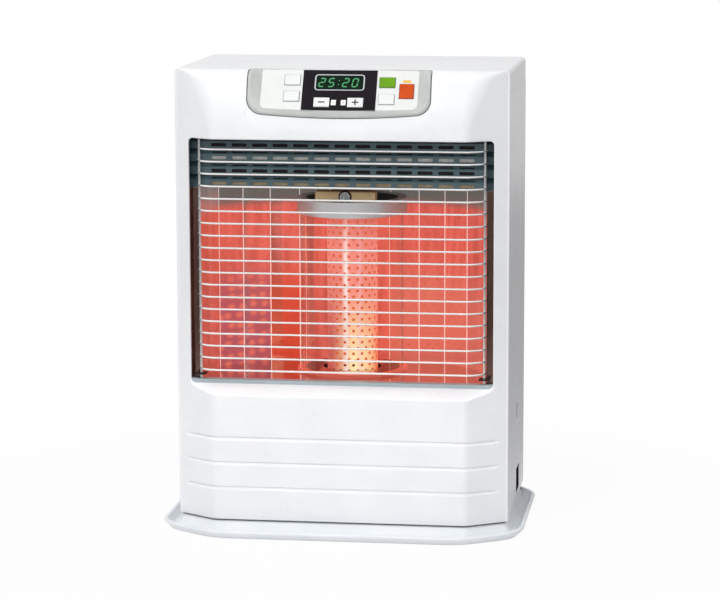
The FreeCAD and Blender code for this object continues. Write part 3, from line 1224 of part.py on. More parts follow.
keep(fuse(
    "control_board",
    face_box("board_sheet", (f"-{BOARD_HALF}", BOARD_HALF), ("board_low", "board_low + board_tall"),
             (BOARD_BACK, BOARD_FRONT)),
    *[face_block(f"{name}_switch", spot, ("switch_size", "switch_size"),
                 (BOARD_FRONT, f"{BUTTON_BACK} - button_travel - clearance"))
      for name, (spot, size) in buttons.items()],
))


# Every object has to be sound before anything is written

doc.recompute()
for item in doc.Objects:
    if "Invalid" in item.State or "Error" in item.State:
        raise RuntimeError(f"{item.Name} failed: {item.State}")
for piece in subparts:
    if piece.Shape.isNull() or not piece.Shape.isValid() or not piece.Shape.Solids:
        raise RuntimeError(f"{piece.Label} has no sound shape")

os.makedirs("parts", exist_ok=True)
for piece in subparts:
    piece.Shape.exportStep(f"parts/{piece.Label}.step")
print(len(subparts), "sub-parts written")
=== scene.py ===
"""Looks of a white flued paraffin heater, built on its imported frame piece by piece, from the tray up."""

import math

import bmesh
import bpy
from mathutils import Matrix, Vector


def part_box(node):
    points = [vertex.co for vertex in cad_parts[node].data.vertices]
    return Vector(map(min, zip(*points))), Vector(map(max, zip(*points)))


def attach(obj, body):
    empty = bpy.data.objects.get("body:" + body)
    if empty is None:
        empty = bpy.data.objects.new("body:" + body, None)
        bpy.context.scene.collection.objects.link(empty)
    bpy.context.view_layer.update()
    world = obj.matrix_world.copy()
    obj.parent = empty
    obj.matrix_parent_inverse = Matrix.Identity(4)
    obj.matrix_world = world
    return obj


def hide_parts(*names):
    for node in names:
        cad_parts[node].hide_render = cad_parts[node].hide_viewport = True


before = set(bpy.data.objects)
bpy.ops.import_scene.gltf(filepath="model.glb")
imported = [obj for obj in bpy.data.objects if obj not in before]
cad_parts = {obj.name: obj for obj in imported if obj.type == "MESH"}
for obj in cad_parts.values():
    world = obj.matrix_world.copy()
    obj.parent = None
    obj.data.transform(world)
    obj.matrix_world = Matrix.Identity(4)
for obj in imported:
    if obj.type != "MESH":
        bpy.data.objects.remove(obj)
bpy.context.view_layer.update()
MM = 0.001


# Floor tray
# A shallow steel pressing that the heater stands in, enamelled white, with a rim that flares out
# all round. Its upper edge is rolled over, and its corners are bent round a form.

def linear(code):
    """An sRGB hex colour as linear red, green, blue and alpha."""
    shares = [int(code[start:start + 2], 16) / 255 for start in (1, 3, 5)]
    return [s / 12.92 if s <= 0.04045 else ((s + 0.055) / 1.055) ** 2.4 for s in shares] + [1.0]


def add(tree, kind, inputs=None, out=0, **settings):
    """A new node by its short name, each input a plain value, an output or a tuple of outputs; gives
    one of its own outputs."""
    families = ("GeometryNode", "ShaderNode", "FunctionNode")
    node = tree.nodes.new(next(family + kind for family in families if hasattr(bpy.types, family + kind)))
    for name, value in settings.items():
        setattr(node, name, value)
    for name, value in (inputs or {}).items():
        sources = value if isinstance(value, tuple) else (value,)
        if isinstance(sources[0], bpy.types.NodeSocket):
            for source in sources:
                tree.links.new(source, node.inputs[name])
        else:
            node.inputs[name].default_value = value
    return node.outputs[out]


def finish(name, colour, **sockets):
    """A new material, with its node tree and its shader set to what is the same all over it."""
    material = bpy.data.materials.new(name)
    material.use_nodes = True
    shader = material.node_tree.nodes["Principled BSDF"]
    shader.inputs["Base Color"].default_value = linear(colour)
    for socket, value in sockets.items():
        shader.inputs[socket.replace("_", " ")].default_value = value
    return material, material.node_tree, shader


def grain(tree, size, stretch=(1, 1, 1), detail=3.0):
    """A noise with lumps of that size in millimetres, drawn out along the axes by stretch."""
    spot = add(tree, "TexCoord", out="Object")
    turned = add(tree, "Mapping", {"Vector": spot, "Scale": [1 / way for way in stretch]})
    return add(tree, "TexNoise", {"Vector": turned, "Scale": 1 / (size * MM), "Detail": detail})


LUMPS_FROM = 0.3
LUMPS_TO = 0.7


def shine(tree, shader, pattern, low, high, height):
    """Roughness from low to high with the pattern, and a bump of that height in millimetres."""
    rough = add(tree, "MapRange", {"Value": pattern, "From Min": LUMPS_FROM, "From Max": LUMPS_TO,
                                   "To Min": low, "To Max": high})
    bump = add(tree, "Bump", {"Height": pattern, "Distance": height * MM})
    tree.links.new(rough, shader.inputs["Roughness"])
    tree.links.new(bump, shader.inputs["Normal"])


def tint(tree, shader, pattern, *colours, socket="Base Color", places=(LUMPS_FROM, LUMPS_TO)):
    """A shader's colour that goes through the colours at those places of the pattern."""
    colour = add(tree, "ValToRGB", {"Fac": pattern})
    stops = colour.node.color_ramp.elements
    while len(stops) < len(colours):
        stops.new(0.5)
    for stop, place, code in zip(stops, places, colours):
        stop.position = place
        stop.color = linear(code)
    tree.links.new(colour, shader.inputs[socket])


def skin(name, pale, dark, lump, rough, height, tone=None, stretch=(1, 1, 1), detail=3.0, **sockets):
    """A finish with lumps in its gloss and relief, and the same or coarser lumps in its tone."""
    material, tree, shader = finish(name, pale, **sockets)
    lumps = grain(tree, lump, stretch, detail)
    shine(tree, shader, lumps, *rough, height)
    tint(tree, shader, grain(tree, tone) if tone else lumps, dark, pale)
    return material, tree, shader


def enamel(name, pale, dark, rough):
    """Baked enamel on steel: an even gloss with a faint orange-peel, drawn coarse enough to show."""
    return skin(name, pale, dark, 3.0, (rough - 0.04, rough + 0.06), 0.005, 60.0, IOR=1.5)[0]


def smoothed(mesh, angle=40):
    """A mesh shaded smooth up to that angle in degrees."""
    mesh.shade_smooth()
    mesh.set_sharp_from_angle(angle=math.radians(angle))
    return mesh


def shape(name, bm, smooth=40):
    """A mesh from a bmesh, smooth up to that angle in degrees."""
    mesh = bpy.data.meshes.new(name)
    bm.to_mesh(mesh)
    bm.free()
    return smoothed(mesh, smooth)


def bridge(bm, loops, closed=True, head=False, foot=False):
    """Quads between loops of points, each loop as long as the next, with the ends closed where asked."""
    rings = [[bm.verts.new(point) for point in loop] for loop in loops]
    for low, high in zip(rings, rings[1:]):
        count = len(low)
        for here in range(count if closed else count - 1):
            there = (here + 1) % count
            bm.faces.new((low[here], low[there], high[there], high[here]))
    if head:
        bm.faces.new(rings[-1])
    if foot:
        bm.faces.new(list(reversed(rings[0])))


def lofted(name, loops, smooth=40, **ends):
    """A mesh of one skin through loops of points."""
    bm = bmesh.new()
    bridge(bm, loops, **ends)
    return shape(name, bm, smooth)


def piece(mesh, material, slot, nodes=(), body="cabinet"):
    """A finished mesh as a piece of the heater: its finish, its body and the nodes it stands for."""
    if material:
        mesh.materials.append(material)
    thing = bpy.data.objects.new(mesh.name, mesh)
    bpy.context.scene.collection.objects.link(thing)
    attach(thing, body)
    if nodes:
        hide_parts(*nodes)
    return thing


def rounded_plan(corners, bends, grow, steps=8):
    """A convex plan of corners, each bent to its own radius, moved out by grow."""
    count = len(corners)
    sides = [(corners[(i + 1) % count] - corners[i]).normalized() for i in range(count)]
    points = []
    for i, corner in enumerate(corners):
        into, out_of = sides[i - 1], sides[i]
        half = into.angle_signed(out_of) / 2
        outward = (Vector((into.y, -into.x)) + Vector((out_of.y, -out_of.x))).normalized()
        radius = bends[i] + grow
        middle = corner - outward * bends[i] / math.cos(half)
        for step in range(steps + 1):
            turn = math.atan2(outward.y, outward.x) + abs(half) * (2 * step / steps - 1)
            points.append(middle + radius * Vector((math.cos(turn), math.sin(turn))))
    return points


def drawn(plan, bends, profile):
    """Loops of a pressing: its plan moved out by each step of the profile, at that step's height."""
    corners = [Vector(corner) for corner in plan]
    return [[(spot.x, spot.y, height) for spot in rounded_plan(corners, bends, grow)]
            for grow, height in profile]


tray_low, tray_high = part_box("base_tray")
cabinet_low, cabinet_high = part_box("front_panel")
TRAY_SHEET = 1.5 * MM
TRAY_FLARE = 10 * MM
TRAY_ROLL = 3.2 * MM
ROLL_START = -40
ROLL_TURN = 200
ROLL_STEPS = 10
TRAY_FRONT_BEND = 90 * MM
TRAY_SIDE_BEND = 60 * MM
TRAY_REAR_BEND = 40 * MM
TRAY_FLANK = 56 * MM
TRAY_FLAT = 188 * MM
TRAY_REAR_FLAT = 236 * MM
TRAY_REAR_CUT = 50 * MM
tray_plan = [
    (-TRAY_FLAT, tray_low.y),
    (TRAY_FLAT, tray_low.y),
    (tray_high.x, tray_low.y + TRAY_FLANK),
    (tray_high.x, tray_high.y - TRAY_REAR_CUT),
    (TRAY_REAR_FLAT, tray_high.y),
    (-TRAY_REAR_FLAT, tray_high.y),
    (tray_low.x, tray_high.y - TRAY_REAR_CUT),
    (tray_low.x, tray_low.y + TRAY_FLANK),
]
tray_bends = [TRAY_FRONT_BEND, TRAY_FRONT_BEND, TRAY_SIDE_BEND, TRAY_SIDE_BEND,
              TRAY_REAR_BEND, TRAY_REAR_BEND, TRAY_SIDE_BEND, TRAY_SIDE_BEND]
tray_profile = [(-TRAY_FLARE, 0.0), (-0.8 * TRAY_ROLL, tray_high.z - 2.2 * TRAY_ROLL)]
for step in range(ROLL_STEPS + 1):
    turn = math.radians(ROLL_START + ROLL_TURN * step / ROLL_STEPS)
    tray_profile.append((-TRAY_ROLL + TRAY_ROLL * math.cos(turn),
                         tray_high.z - TRAY_ROLL + TRAY_ROLL * math.sin(turn)))
tray_profile += [
    (-2 * TRAY_ROLL - 0.4 * MM, tray_high.z - 1.6 * TRAY_ROLL),
    (-TRAY_FLARE - TRAY_SHEET, TRAY_SHEET + 1.5 * MM),
    (-TRAY_FLARE - 2 * TRAY_SHEET, TRAY_SHEET + 0.4 * MM),
    (-TRAY_FLARE - 4 * TRAY_SHEET, TRAY_SHEET),
]
white_tray = enamel("baked_white_enamel_tray", "#EDF0F4", "#E6EAEF", 0.3)
piece(lofted("tray_pressing", drawn(tray_plan, tray_bends, tray_profile), head=True, foot=True),
      white_tray, "tray_enamel", ["base_tray"])


# Raised platform of the tray
# The middle of the tray is drawn up under the cabinet, round the plinth, and enamelled with it; a
# narrow dark gap is left under the cabinet's lower edge.

FOLD = 190 * MM
PLATFORM_GAP = 2.5 * MM
PLATFORM_INSET = 3.5 * MM
PLATFORM_RUN = 9 * MM
PLATFORM_BEND = 14 * MM
plinth_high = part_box("plinth")[1]
platform_back = plinth_high.y + 4 * PLATFORM_INSET
platform_top = plinth_high.z - PLATFORM_GAP
platform_plan = [
    (-FOLD, cabinet_low.y),
    (FOLD, cabinet_low.y),
    (cabinet_high.x, cabinet_high.y),
    (cabinet_high.x, platform_back),
    (cabinet_low.x, platform_back),
    (cabinet_low.x, cabinet_high.y),
]
platform_profile = [
    (PLATFORM_RUN - PLATFORM_INSET, TRAY_SHEET - 0.5 * MM),
    (PLATFORM_RUN - PLATFORM_INSET - 1.5 * MM, TRAY_SHEET + 1.0 * MM),
    (1.2 * MM - PLATFORM_INSET, platform_top - 2.0 * MM),
    (0.4 * MM - PLATFORM_INSET, platform_top - 0.6 * MM),
    (-1.0 * MM - PLATFORM_INSET, platform_top),
]
platform_bends = [PLATFORM_BEND] * len(platform_plan)
piece(lofted("tray_platform", drawn(platform_plan, platform_bends, platform_profile), head=True, foot=True),
      white_tray, "tray_enamel", ["plinth"])


# Base plate and inner sheet metal
# Folded from galvanised sheet and hidden in the cabinet; the zinc shows as flat flakes of frozen
# metal, each of its own grey and gloss. The base plate carries the whole cabinet on the platform.

def dress(material, *nodes):
    """Gives CAD nodes that show as they are their finish."""
    for node in nodes:
        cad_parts[node].material_slots[0].material = material


FLAKE = 9 * MM
zinc_sheet, tree, shader = finish("galvanised_sheet", "#C3C7CA", Metallic=1.0)
spot = add(tree, "TexCoord", out="Object")
flakes = add(tree, "TexVoronoi", {"Vector": spot, "Scale": 1 / FLAKE}, "Color")
shade = add(tree, "SeparateColor", {"Color": flakes})
shine(tree, shader, shade, 0.38, 0.55, 0.004)
tint(tree, shader, shade, "#A7ACB0", "#C3C7CA")
dress(zinc_sheet, "base_plate", "air_intake_pipe", "blower_housing", "air_duct", "fan_bracket")

# Steel browned by heat, with soft patches of darker scale.
tanned_steel = skin("heat_tanned_steel", "#6A6054", "#4A4239", 20.0, (0.4, 0.55), 0.01, Metallic=0.6)[0]
dress(tanned_steel, "heat_exchanger")


# Fuel leveller, pump, pipes and reset lever
# A die-cast aluminium float chamber and a plated pump, joined by soft copper-brass pipe; the red
# moulded lever reaches the slot in the right side.

def moulded(name, pale, dark, rough, texture=0.012, **sockets):
    """Moulded plastic: a fine spark-eroded texture, drawn coarse enough to show, and a soft gloss."""
    return skin(name, pale, dark, 0.9, (rough - 0.06, rough + 0.06), texture, 18.0, IOR=1.49, **sockets)[0]


# The casting looks sandy, the drawn brass softly streaked and the plating bright, with upright lines.
cast_metal = skin("die_cast_aluminium", "#B4B6B8", "#97999B", 1.5, (0.45, 0.65), 0.05, detail=5.0,
                  Metallic=1.0)[0]
brass = skin("drawn_brass", "#D2AE66", "#A9854A", 4.0, (0.22, 0.4), 0.01, Metallic=1.0)[0]
plated_steel = skin("bright_plated_steel", "#D2D5D8", "#B9BDC0", 3.0, (0.2, 0.34), 0.006,
                    stretch=(1, 1, 6), Metallic=1.0)[0]
dress(cast_metal, "fuel_leveller")
dress(brass, "fuel_inlet", "fuel_pipes")
dress(plated_steel, "fuel_pump", "igniter", "flue_pipe")
dress(moulded("red_nylon", "#C4231D", "#B01D18", 0.4), "reset_lever")


# Blower, fan motors, power unit and tip-over switch
# Bought-in pieces screwed to the base plate and the rear: pressed motors in grey enamel, stamped
# aluminium wheels with faint upright marks, and black moulded boxes.

fan_metal = skin("stamped_aluminium", "#D5D8DA", "#BCC0C3", 5.0, (0.28, 0.42), 0.01,
                 stretch=(1, 1, 3), Metallic=1.0)[0]
dress(enamel("grey_motor_enamel", "#5E6468", "#54595D", 0.42), "blower_motor", "fan_motor")
dress(fan_metal, "blower_impeller", "convection_fan")
dress(moulded("black_abs", "#202124", "#18191B", 0.45), "power_unit", "tip_over_switch")
dress(moulded("black_rubber", "#1B1B1C", "#141415", 0.62, 0.02), "cord_gland")


# Burner pot, rings and cap
# Cast and turned iron pieces under and round the glass, dark and crusted from heat; the top ring is
# turned from stainless steel and stays bright, with fine lines round it.

SHARP_ANGLE = math.radians(30)
FLAT_ANGLE = math.radians(0.5)
SAME_PLACE = 0.002 * MM


def evened(thing):
    """Lets the large faces of a rounded piece stay flat to the eye."""
    thing.modifiers.new("even_faces", "WEIGHTED_NORMAL").keep_sharp = True


def rounded(name, node, width, material, slot, segments=3, body="cabinet"):
    """A CAD node as a piece with its sharp edges rounded to a width in millimetres."""
    bm = bmesh.new()
    bm.from_mesh(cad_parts[node].data)
    bmesh.ops.remove_doubles(bm, verts=bm.verts, dist=SAME_PLACE)
    bmesh.ops.dissolve_limit(bm, angle_limit=FLAT_ANGLE, verts=bm.verts, edges=bm.edges)
    sharp_edges = [edge for edge in bm.edges if edge.is_manifold and edge.calc_face_angle() > SHARP_ANGLE]
    bmesh.ops.bevel(bm, geom=sharp_edges, offset=width * MM, offset_type="OFFSET", segments=segments,
                    profile=0.5, affect="EDGES", clamp_overlap=True)
    evened(piece(shape(name, bm, 60), material, slot, [node], body))


dark_iron = skin("heat_darkened_iron_and_painted_shade", "#3B3234", "#1D191B", 2.2, (0.42, 0.7), 0.06, detail=5.0,
                 Metallic=0.7)[0]
ring_steel = skin("turned_stainless_steel", "#E6E8EA", "#DADDDF", 0.8, (0.36, 0.4), 0.00005,
                  stretch=(30, 30, 1), Metallic=0.6)[0]
dress(dark_iron, "burner_pot", "flame_tube_cap")
rounded("top_ring_turning", "glass_top_ring", 1.2, ring_steel, "ring_steel")


# Flame tube
# A thin stainless tube with round holes punched in staggered rows; it runs red hot, yellow-white
# where the flame is fiercest at its lower front, and the flame shows through the holes.

def geometry_tree(name, sizes):
    """An empty geometry tree with a named input for each size: its sizes, and where its result goes."""
    tree = bpy.data.node_groups.new(name, "GeometryNodeTree")
    for size, value in sizes.items():
        kind = "NodeSocketInt" if isinstance(value, int) else "NodeSocketFloat"
        tree.interface.new_socket(size, in_out="INPUT", socket_type=kind)
    tree.interface.new_socket("Geometry", in_out="OUTPUT", socket_type="NodeSocketGeometry")
    return tree, tree.nodes.new("NodeGroupInput").outputs, tree.nodes.new("NodeGroupOutput").inputs[0]


def row(tree, thing, count, offset, start=(0.0, 0.0, 0.0)):
    """Copies of a thing in a straight row."""
    line = add(tree, "MeshLine", {"Count": count, "Start Location": start, "Offset": offset})
    return add(tree, "InstanceOnPoints", {"Points": line, "Instance": thing})


def double_skin(tree, sheet, thickness, gap):
    """A sheet closed to that thickness behind its face, and what tells its new faces apart."""
    inward = add(tree, "Math", {0: thickness, 1: -1.0}, operation="MULTIPLY")
    made = add(tree, "ExtrudeMesh", {"Mesh": sheet, "Offset Scale": inward,
                                     "Individual": False}).node.outputs
    back = add(tree, "FlipFaces", {"Mesh": made["Mesh"]})
    both = add(tree, "JoinGeometry", {"Geometry": (sheet, back)})
    return add(tree, "MergeByDistance", {"Geometry": both, "Distance": gap}), made


def plain(tree, geometry, material):
    """The tree's geometry as one plain mesh in its finish."""
    realized = add(tree, "RealizeInstances", {"Geometry": geometry})
    return add(tree, "SetMaterial", {"Geometry": realized, "Material": material})


def grown(tree, sizes):
    """The plain mesh that a geometry tree makes at these sizes."""
    seed = bpy.data.objects.new(tree.name, bpy.data.meshes.new(tree.name))
    bpy.context.scene.collection.objects.link(seed)
    modifier = seed.modifiers.new(tree.name, "NODES")
    modifier.node_group = tree
    for item in tree.interface.items_tree:
        if item.in_out == "INPUT":
            modifier[item.identifier] = sizes[item.name]
    depsgraph = bpy.context.evaluated_depsgraph_get()
    mesh = bpy.data.meshes.new_from_object(seed.evaluated_get(depsgraph))
    mesh.name = tree.name
    seed.modifiers.remove(modifier)
    bpy.data.objects.remove(seed)
    return mesh


def whereabouts(tree):
    """The X, Y and Z of each point of a piece."""
    spot = add(tree, "TexCoord", out="Object")
    return add(tree, "SeparateXYZ", {"Vector": spot}).node.outputs


def overlay(tree, shader, socket, share, colour):
    """Lays a colour over what a shader's socket already gets, by a share from 0 to 1."""
    under = shader.inputs[socket].links[0].from_socket
    mixed = add(tree, "Mix", {0: share, 6: under, 7: linear(colour)}, 2, data_type="RGBA")
    tree.links.new(mixed, shader.inputs[socket])


tube_low, tube_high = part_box("flame_tube")
TUBE_RADIUS = (tube_high.x - tube_low.x) / 2
TUBE_AXIS = (tube_low.y + tube_high.y) / 2
HOLES_ROUND = 18
HOLE_ROWS = 30
WELD_GAP = 0.02 * MM
tube_sizes = {
    "tube radius": TUBE_RADIUS,
    "tube axis": TUBE_AXIS,
    "tube foot": tube_low.z,
    "wall": 1.2 * MM,
    "holes round": HOLES_ROUND,
    "hole rows": HOLE_ROWS,
    "hole radius": 2.3 * MM,
    "hole pitch": 2 * math.pi * TUBE_RADIUS / HOLES_ROUND,
    "row pitch": (tube_high.z - tube_low.z) / HOLE_ROWS,
}

# Steel at red heat: it gives its own light, paler up the front. The two pale streaks up its front are painted
# highlights, and its left side is darker low down with painted shade.
HEAT = {0.0: "#F07A54", 0.12: "#F2805A", 0.4: "#EE8A7A", 0.75: "#EA8478", 0.95: "#CC6258"}
PAINTED_HIGHLIGHT_STREAKS = ((-5 * MM, 7 * MM, 0.95, "#FFF0EC"), (16 * MM, 6 * MM, 0.5, "#F6BCC4"))
hot_steel, tree, shader = finish("red_hot_steel", "#5A3A34", Metallic=0.6, Roughness=0.5,
                                 Emission_Strength=1.0)
place = whereabouts(tree)
height = add(tree, "MapRange", {"Value": place["Z"], "From Min": tube_low.z, "From Max": tube_high.z})
front = add(tree, "MapRange", {"Value": place["Y"], "From Min": TUBE_AXIS - 0.2 * TUBE_RADIUS,
                               "From Max": TUBE_AXIS - TUBE_RADIUS})
right = add(tree, "MapRange", {"Value": place["X"], "From Min": -0.75 * TUBE_RADIUS,
                               "From Max": 0.1 * TUBE_RADIUS})
low = add(tree, "MapRange", {"Value": height, "From Min": 0.48, "From Max": 0.1})
fierce = add(tree, "Math", {0: front, 1: right}, operation="MULTIPLY")
fierce = add(tree, "Math", {0: fierce, 1: low}, operation="MULTIPLY")
tint(tree, shader, height, *HEAT.values(), socket="Emission Color", places=HEAT)
overlay(tree, shader, "Emission Color", fierce, "#FFEBB4")
highlight_breakup = add(tree, "MapRange", {"Value": grain(tree, 5.0, (1, 1, 3)), "From Min": 0.3,
                              "From Max": 0.6, "To Min": 0.75})
highlight_fade = add(tree, "MapRange", {"Value": height, "From Min": 0.95, "From Max": 0.65})
# Painted highlights: two pale streaks up the tube's front, standing in for the studio light mirrored in the
# glass, broken up by a noise.
for middle, half, most, colour in PAINTED_HIGHLIGHT_STREAKS:
    off = add(tree, "Math", {0: place["X"], 1: middle}, operation="SUBTRACT")
    off = add(tree, "Math", {0: off}, operation="ABSOLUTE")
    near = add(tree, "MapRange", {"Value": off, "From Min": half, "From Max": 0.0, "To Max": most},
               interpolation_type="SMOOTHSTEP")
    for share in (highlight_fade, highlight_breakup, front):
        near = add(tree, "Math", {0: near, 1: share}, operation="MULTIPLY")
    overlay(tree, shader, "Emission Color", near, colour)
# Painted shade: the tube's left side, low down, goes darker and purplish.
behind = add(tree, "MapRange", {"Value": place["X"], "From Min": 0.2 * TUBE_RADIUS,
                                "From Max": -0.8 * TUBE_RADIUS})
painted_left_shade = add(tree, "MapRange", {"Value": height, "From Min": 0.65, "From Max": 0.2, "To Max": 0.7})
painted_left_shade = add(tree, "Math", {0: behind, 1: painted_left_shade}, operation="MULTIPLY")
overlay(tree, shader, "Emission Color", painted_left_shade, "#9A3C50")
tint(tree, shader, grain(tree, 2.0), "#4A302C", "#6A4640")

# The flame behind the holes: a flickering orange-red with no edge of its own.
flame_light, tree, shader = finish("flame_behind_holes", "#3A1512", Roughness=0.7, Emission_Strength=0.9)
tint(tree, shader, grain(tree, 14.0), "#C83C2A", "#F27E48", socket="Emission Color", places=(0.0, 1.0))

tree, size, result = geometry_tree("perforated_flame_tube", tube_sizes)
cell = add(tree, "CurvePrimitiveQuadrilateral", {"Width": size["hole pitch"], "Height": size["row pitch"]})
cell = add(tree, "SubdivideCurve", {"Curve": cell, "Cuts": 1})
hole = add(tree, "CurvePrimitiveCircle", {"Radius": size["hole radius"], "Resolution": 10})
both = add(tree, "JoinGeometry", {"Geometry": (cell, hole)})
punched = add(tree, "FillCurve", {"Curve": both})
step_aside = add(tree, "CombineXYZ", {"X": size["hole pitch"]})
one_row = row(tree, punched, size["holes round"], step_aside)
step_up = add(tree, "CombineXYZ", {"Y": size["row pitch"]})
rows = add(tree, "MeshLine", {"Count": size["hole rows"], "Offset": step_up})
odd = add(tree, "Math", {0: add(tree, "InputIndex"), 1: 2.0}, operation="MODULO")
shift = add(tree, "Math", {0: size["hole pitch"], 1: 0.5}, operation="MULTIPLY")
shift = add(tree, "Math", {0: odd, 1: shift}, operation="MULTIPLY")
shift = add(tree, "CombineXYZ", {"X": shift})
staggered = add(tree, "SetPosition", {"Geometry": rows, "Offset": shift})
flat = add(tree, "InstanceOnPoints", {"Points": staggered, "Instance": one_row})
flat = add(tree, "RealizeInstances", {"Geometry": flat})
flat = add(tree, "MergeByDistance", {"Geometry": flat, "Distance": WELD_GAP})
sheet, made = double_skin(tree, flat, size["wall"], WELD_GAP)
inside = add(tree, "BooleanMath", {0: made["Top"], 1: made["Side"]}, operation="OR")
where = add(tree, "SeparateXYZ", {"Vector": add(tree, "InputPosition")}).node.outputs
turn = add(tree, "Math", {0: where["X"], 1: size["tube radius"]}, operation="DIVIDE")
reach = add(tree, "Math", {0: size["tube radius"], 1: where["Z"]}, operation="ADD")
across = add(tree, "Math", {0: turn}, operation="SINE")
across = add(tree, "Math", {0: across, 1: reach}, operation="MULTIPLY")
depth = add(tree, "Math", {0: turn}, operation="COSINE")
depth = add(tree, "Math", {0: depth, 1: reach}, operation="MULTIPLY")
depth = add(tree, "Math", {0: size["tube axis"], 1: depth}, operation="SUBTRACT")
half_row = add(tree, "Math", {0: size["row pitch"], 1: 0.5}, operation="MULTIPLY")
rise = add(tree, "Math", {0: where["Y"], 1: size["tube foot"]}, operation="ADD")
rise = add(tree, "Math", {0: rise, 1: half_row}, operation="ADD")
on_tube = add(tree, "CombineXYZ", {"X": across, "Y": depth, "Z": rise})
rolled = add(tree, "SetPosition", {"Geometry": sheet, "Position": on_tube})
rolled = add(tree, "MergeByDistance", {"Geometry": rolled, "Distance": WELD_GAP})
rolled = plain(tree, rolled, hot_steel)
rolled = add(tree, "SetMaterial", {"Geometry": rolled, "Selection": inside, "Material": flame_light})
tree.links.new(rolled, result)
piece(smoothed(grown(tree, tube_sizes)), None, "flame_steel", ["flame_tube"])


# Heat glass
# A drawn cylinder of heat-proof glass that stands in the base ring and is held by the top ring; its
# wall shows as bright lines at both sides, and faint draw lines run up it.

heat_glass, tree, shader = finish("heat_proof_glass", "#FFFAF6", IOR=1.2, Transmission_Weight=1.0)
shine(tree, shader, grain(tree, 6.0, (1, 1, 12)), 0.0, 0.03, 0.002)
dress(heat_glass, "glass_cylinder")


# Clamp block and screw
# A beige enamelled casting bolted over the top ring with one pan-head screw on a dark washer.

WASHER_STEPS = 24
clamp_beige = enamel("beige_clamp_enamel", "#D0B98C", "#B8A074", 0.5)
rounded("clamp_casting", "clamp_block", 2.5, clamp_beige, "clamp_enamel")
rounded("clamp_screw_head", "clamp_screw", 1.2, plated_steel, "ring_steel")
screw_low, screw_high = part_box("clamp_screw")
screw_radius = (screw_high.x - screw_low.x) / 2
screw_level = (screw_high.z + screw_low.z) / 2
washer_turns = [2 * math.pi * step / WASHER_STEPS for step in range(WASHER_STEPS)]
washer_profile = ((2.0 * MM, 0.0), (2.0 * MM, 0.8 * MM), (1.6 * MM, 1.2 * MM), (-0.5 * MM, 1.2 * MM))
washer_loops = [[((screw_radius + past) * math.cos(turn), screw_high.y - out,
                  screw_level + (screw_radius + past) * math.sin(turn)) for turn in washer_turns]
                for past, out in washer_profile]
piece(lofted("clamp_screw_washer", washer_loops), dark_iron, "dark_iron")


# Hearth: shelf, roof and cheek plates
# Polished stainless sheet that closes the hearth below, above and at both sides, and mirrors the fire; the
# cheeks are tanned by heat, and the fire's light on the side that faces it is painted on them as a red glow.

def polished(name, pale, dark, rough):
    """Polished stainless steel: a mirror with faint upright polishing marks."""
    return skin(name, pale, dark, 1.6, (rough - 0.03, rough + 0.04), 0.0015, 40.0, (1, 1, 14), Metallic=1.0)


def paint_firelight(tree, shader, low_colours, high_colour, strength):
    """Painted firelight on a surface: a glow shimmering between two colours beside the flame, plain above it;
    gives the share of the plain part."""
    level = whereabouts(tree)["Z"]
    unlit = add(tree, "MapRange", {"Value": level, "From Min": GLOW_TOP - GLOW_FADE,
                                   "From Max": GLOW_TOP}, interpolation_type="SMOOTHSTEP")
    shimmer = grain(tree, 12.0, (1, 1, 8))
    tint(tree, shader, shimmer, *low_colours, socket="Emission Color", places=(0.35, 0.65))
    overlay(tree, shader, "Emission Color", unlit, high_colour)
    shader.inputs["Emission Strength"].default_value = strength
    return unlit


GLOW_TOP = 484 * MM
GLOW_FADE = 16 * MM
CHEEK_PAINTED_FIRELIGHT = 0.9
mirror_steel = polished("polished_stainless_steel", "#DDD6D2", "#D0C8C4", 0.1)[0]
dress(mirror_steel, "hearth_shelf", "hearth_roof")
# The cheeks' steel is tanned by heat; the fire's light on them is painted on as a red glow, only on the side
# that faces the fire.
cheek_steel_painted_firelight, tree, shader = polished("heat_tinted_steel_painted_firelight", "#B08A80", "#9A7468", 0.14)
paint_firelight(tree, shader, ("#8C3E32", "#A04C3E"), "#6C6664", CHEEK_PAINTED_FIRELIGHT)
facing = add(tree, "NewGeometry", out="True Normal")
facing = add(tree, "SeparateXYZ", {"Vector": facing})
outward = add(tree, "Math", {0: whereabouts(tree)["X"], 1: facing}, operation="MULTIPLY")
painted_firelight_side = add(tree, "Math", {0: outward, 1: 0.0}, operation="LESS_THAN")
painted_firelight_side = add(tree, "Math", {0: painted_firelight_side, 1: CHEEK_PAINTED_FIRELIGHT}, operation="MULTIPLY")
tree.links.new(painted_firelight_side, shader.inputs["Emission Strength"])
dress(cheek_steel_painted_firelight, "left_cheek_plate", "right_cheek_plate")


# Reflector
# Polished stainless sheet folded into upright flats round the burner; a narrow bead is pressed along
# every fold and is painted as a thin highlight line. The fire's light is painted on the flats as a glow, and
# low down the tube's reflection is painted on as bands of red, and its holes as soft pale spots.

def walled(thing, thickness):
    """Gives a sheet its thickness, behind the face that shows."""
    wall = thing.modifiers.new("sheet", "SOLIDIFY")
    wall.thickness = thickness
    wall.offset = -1
    return wall


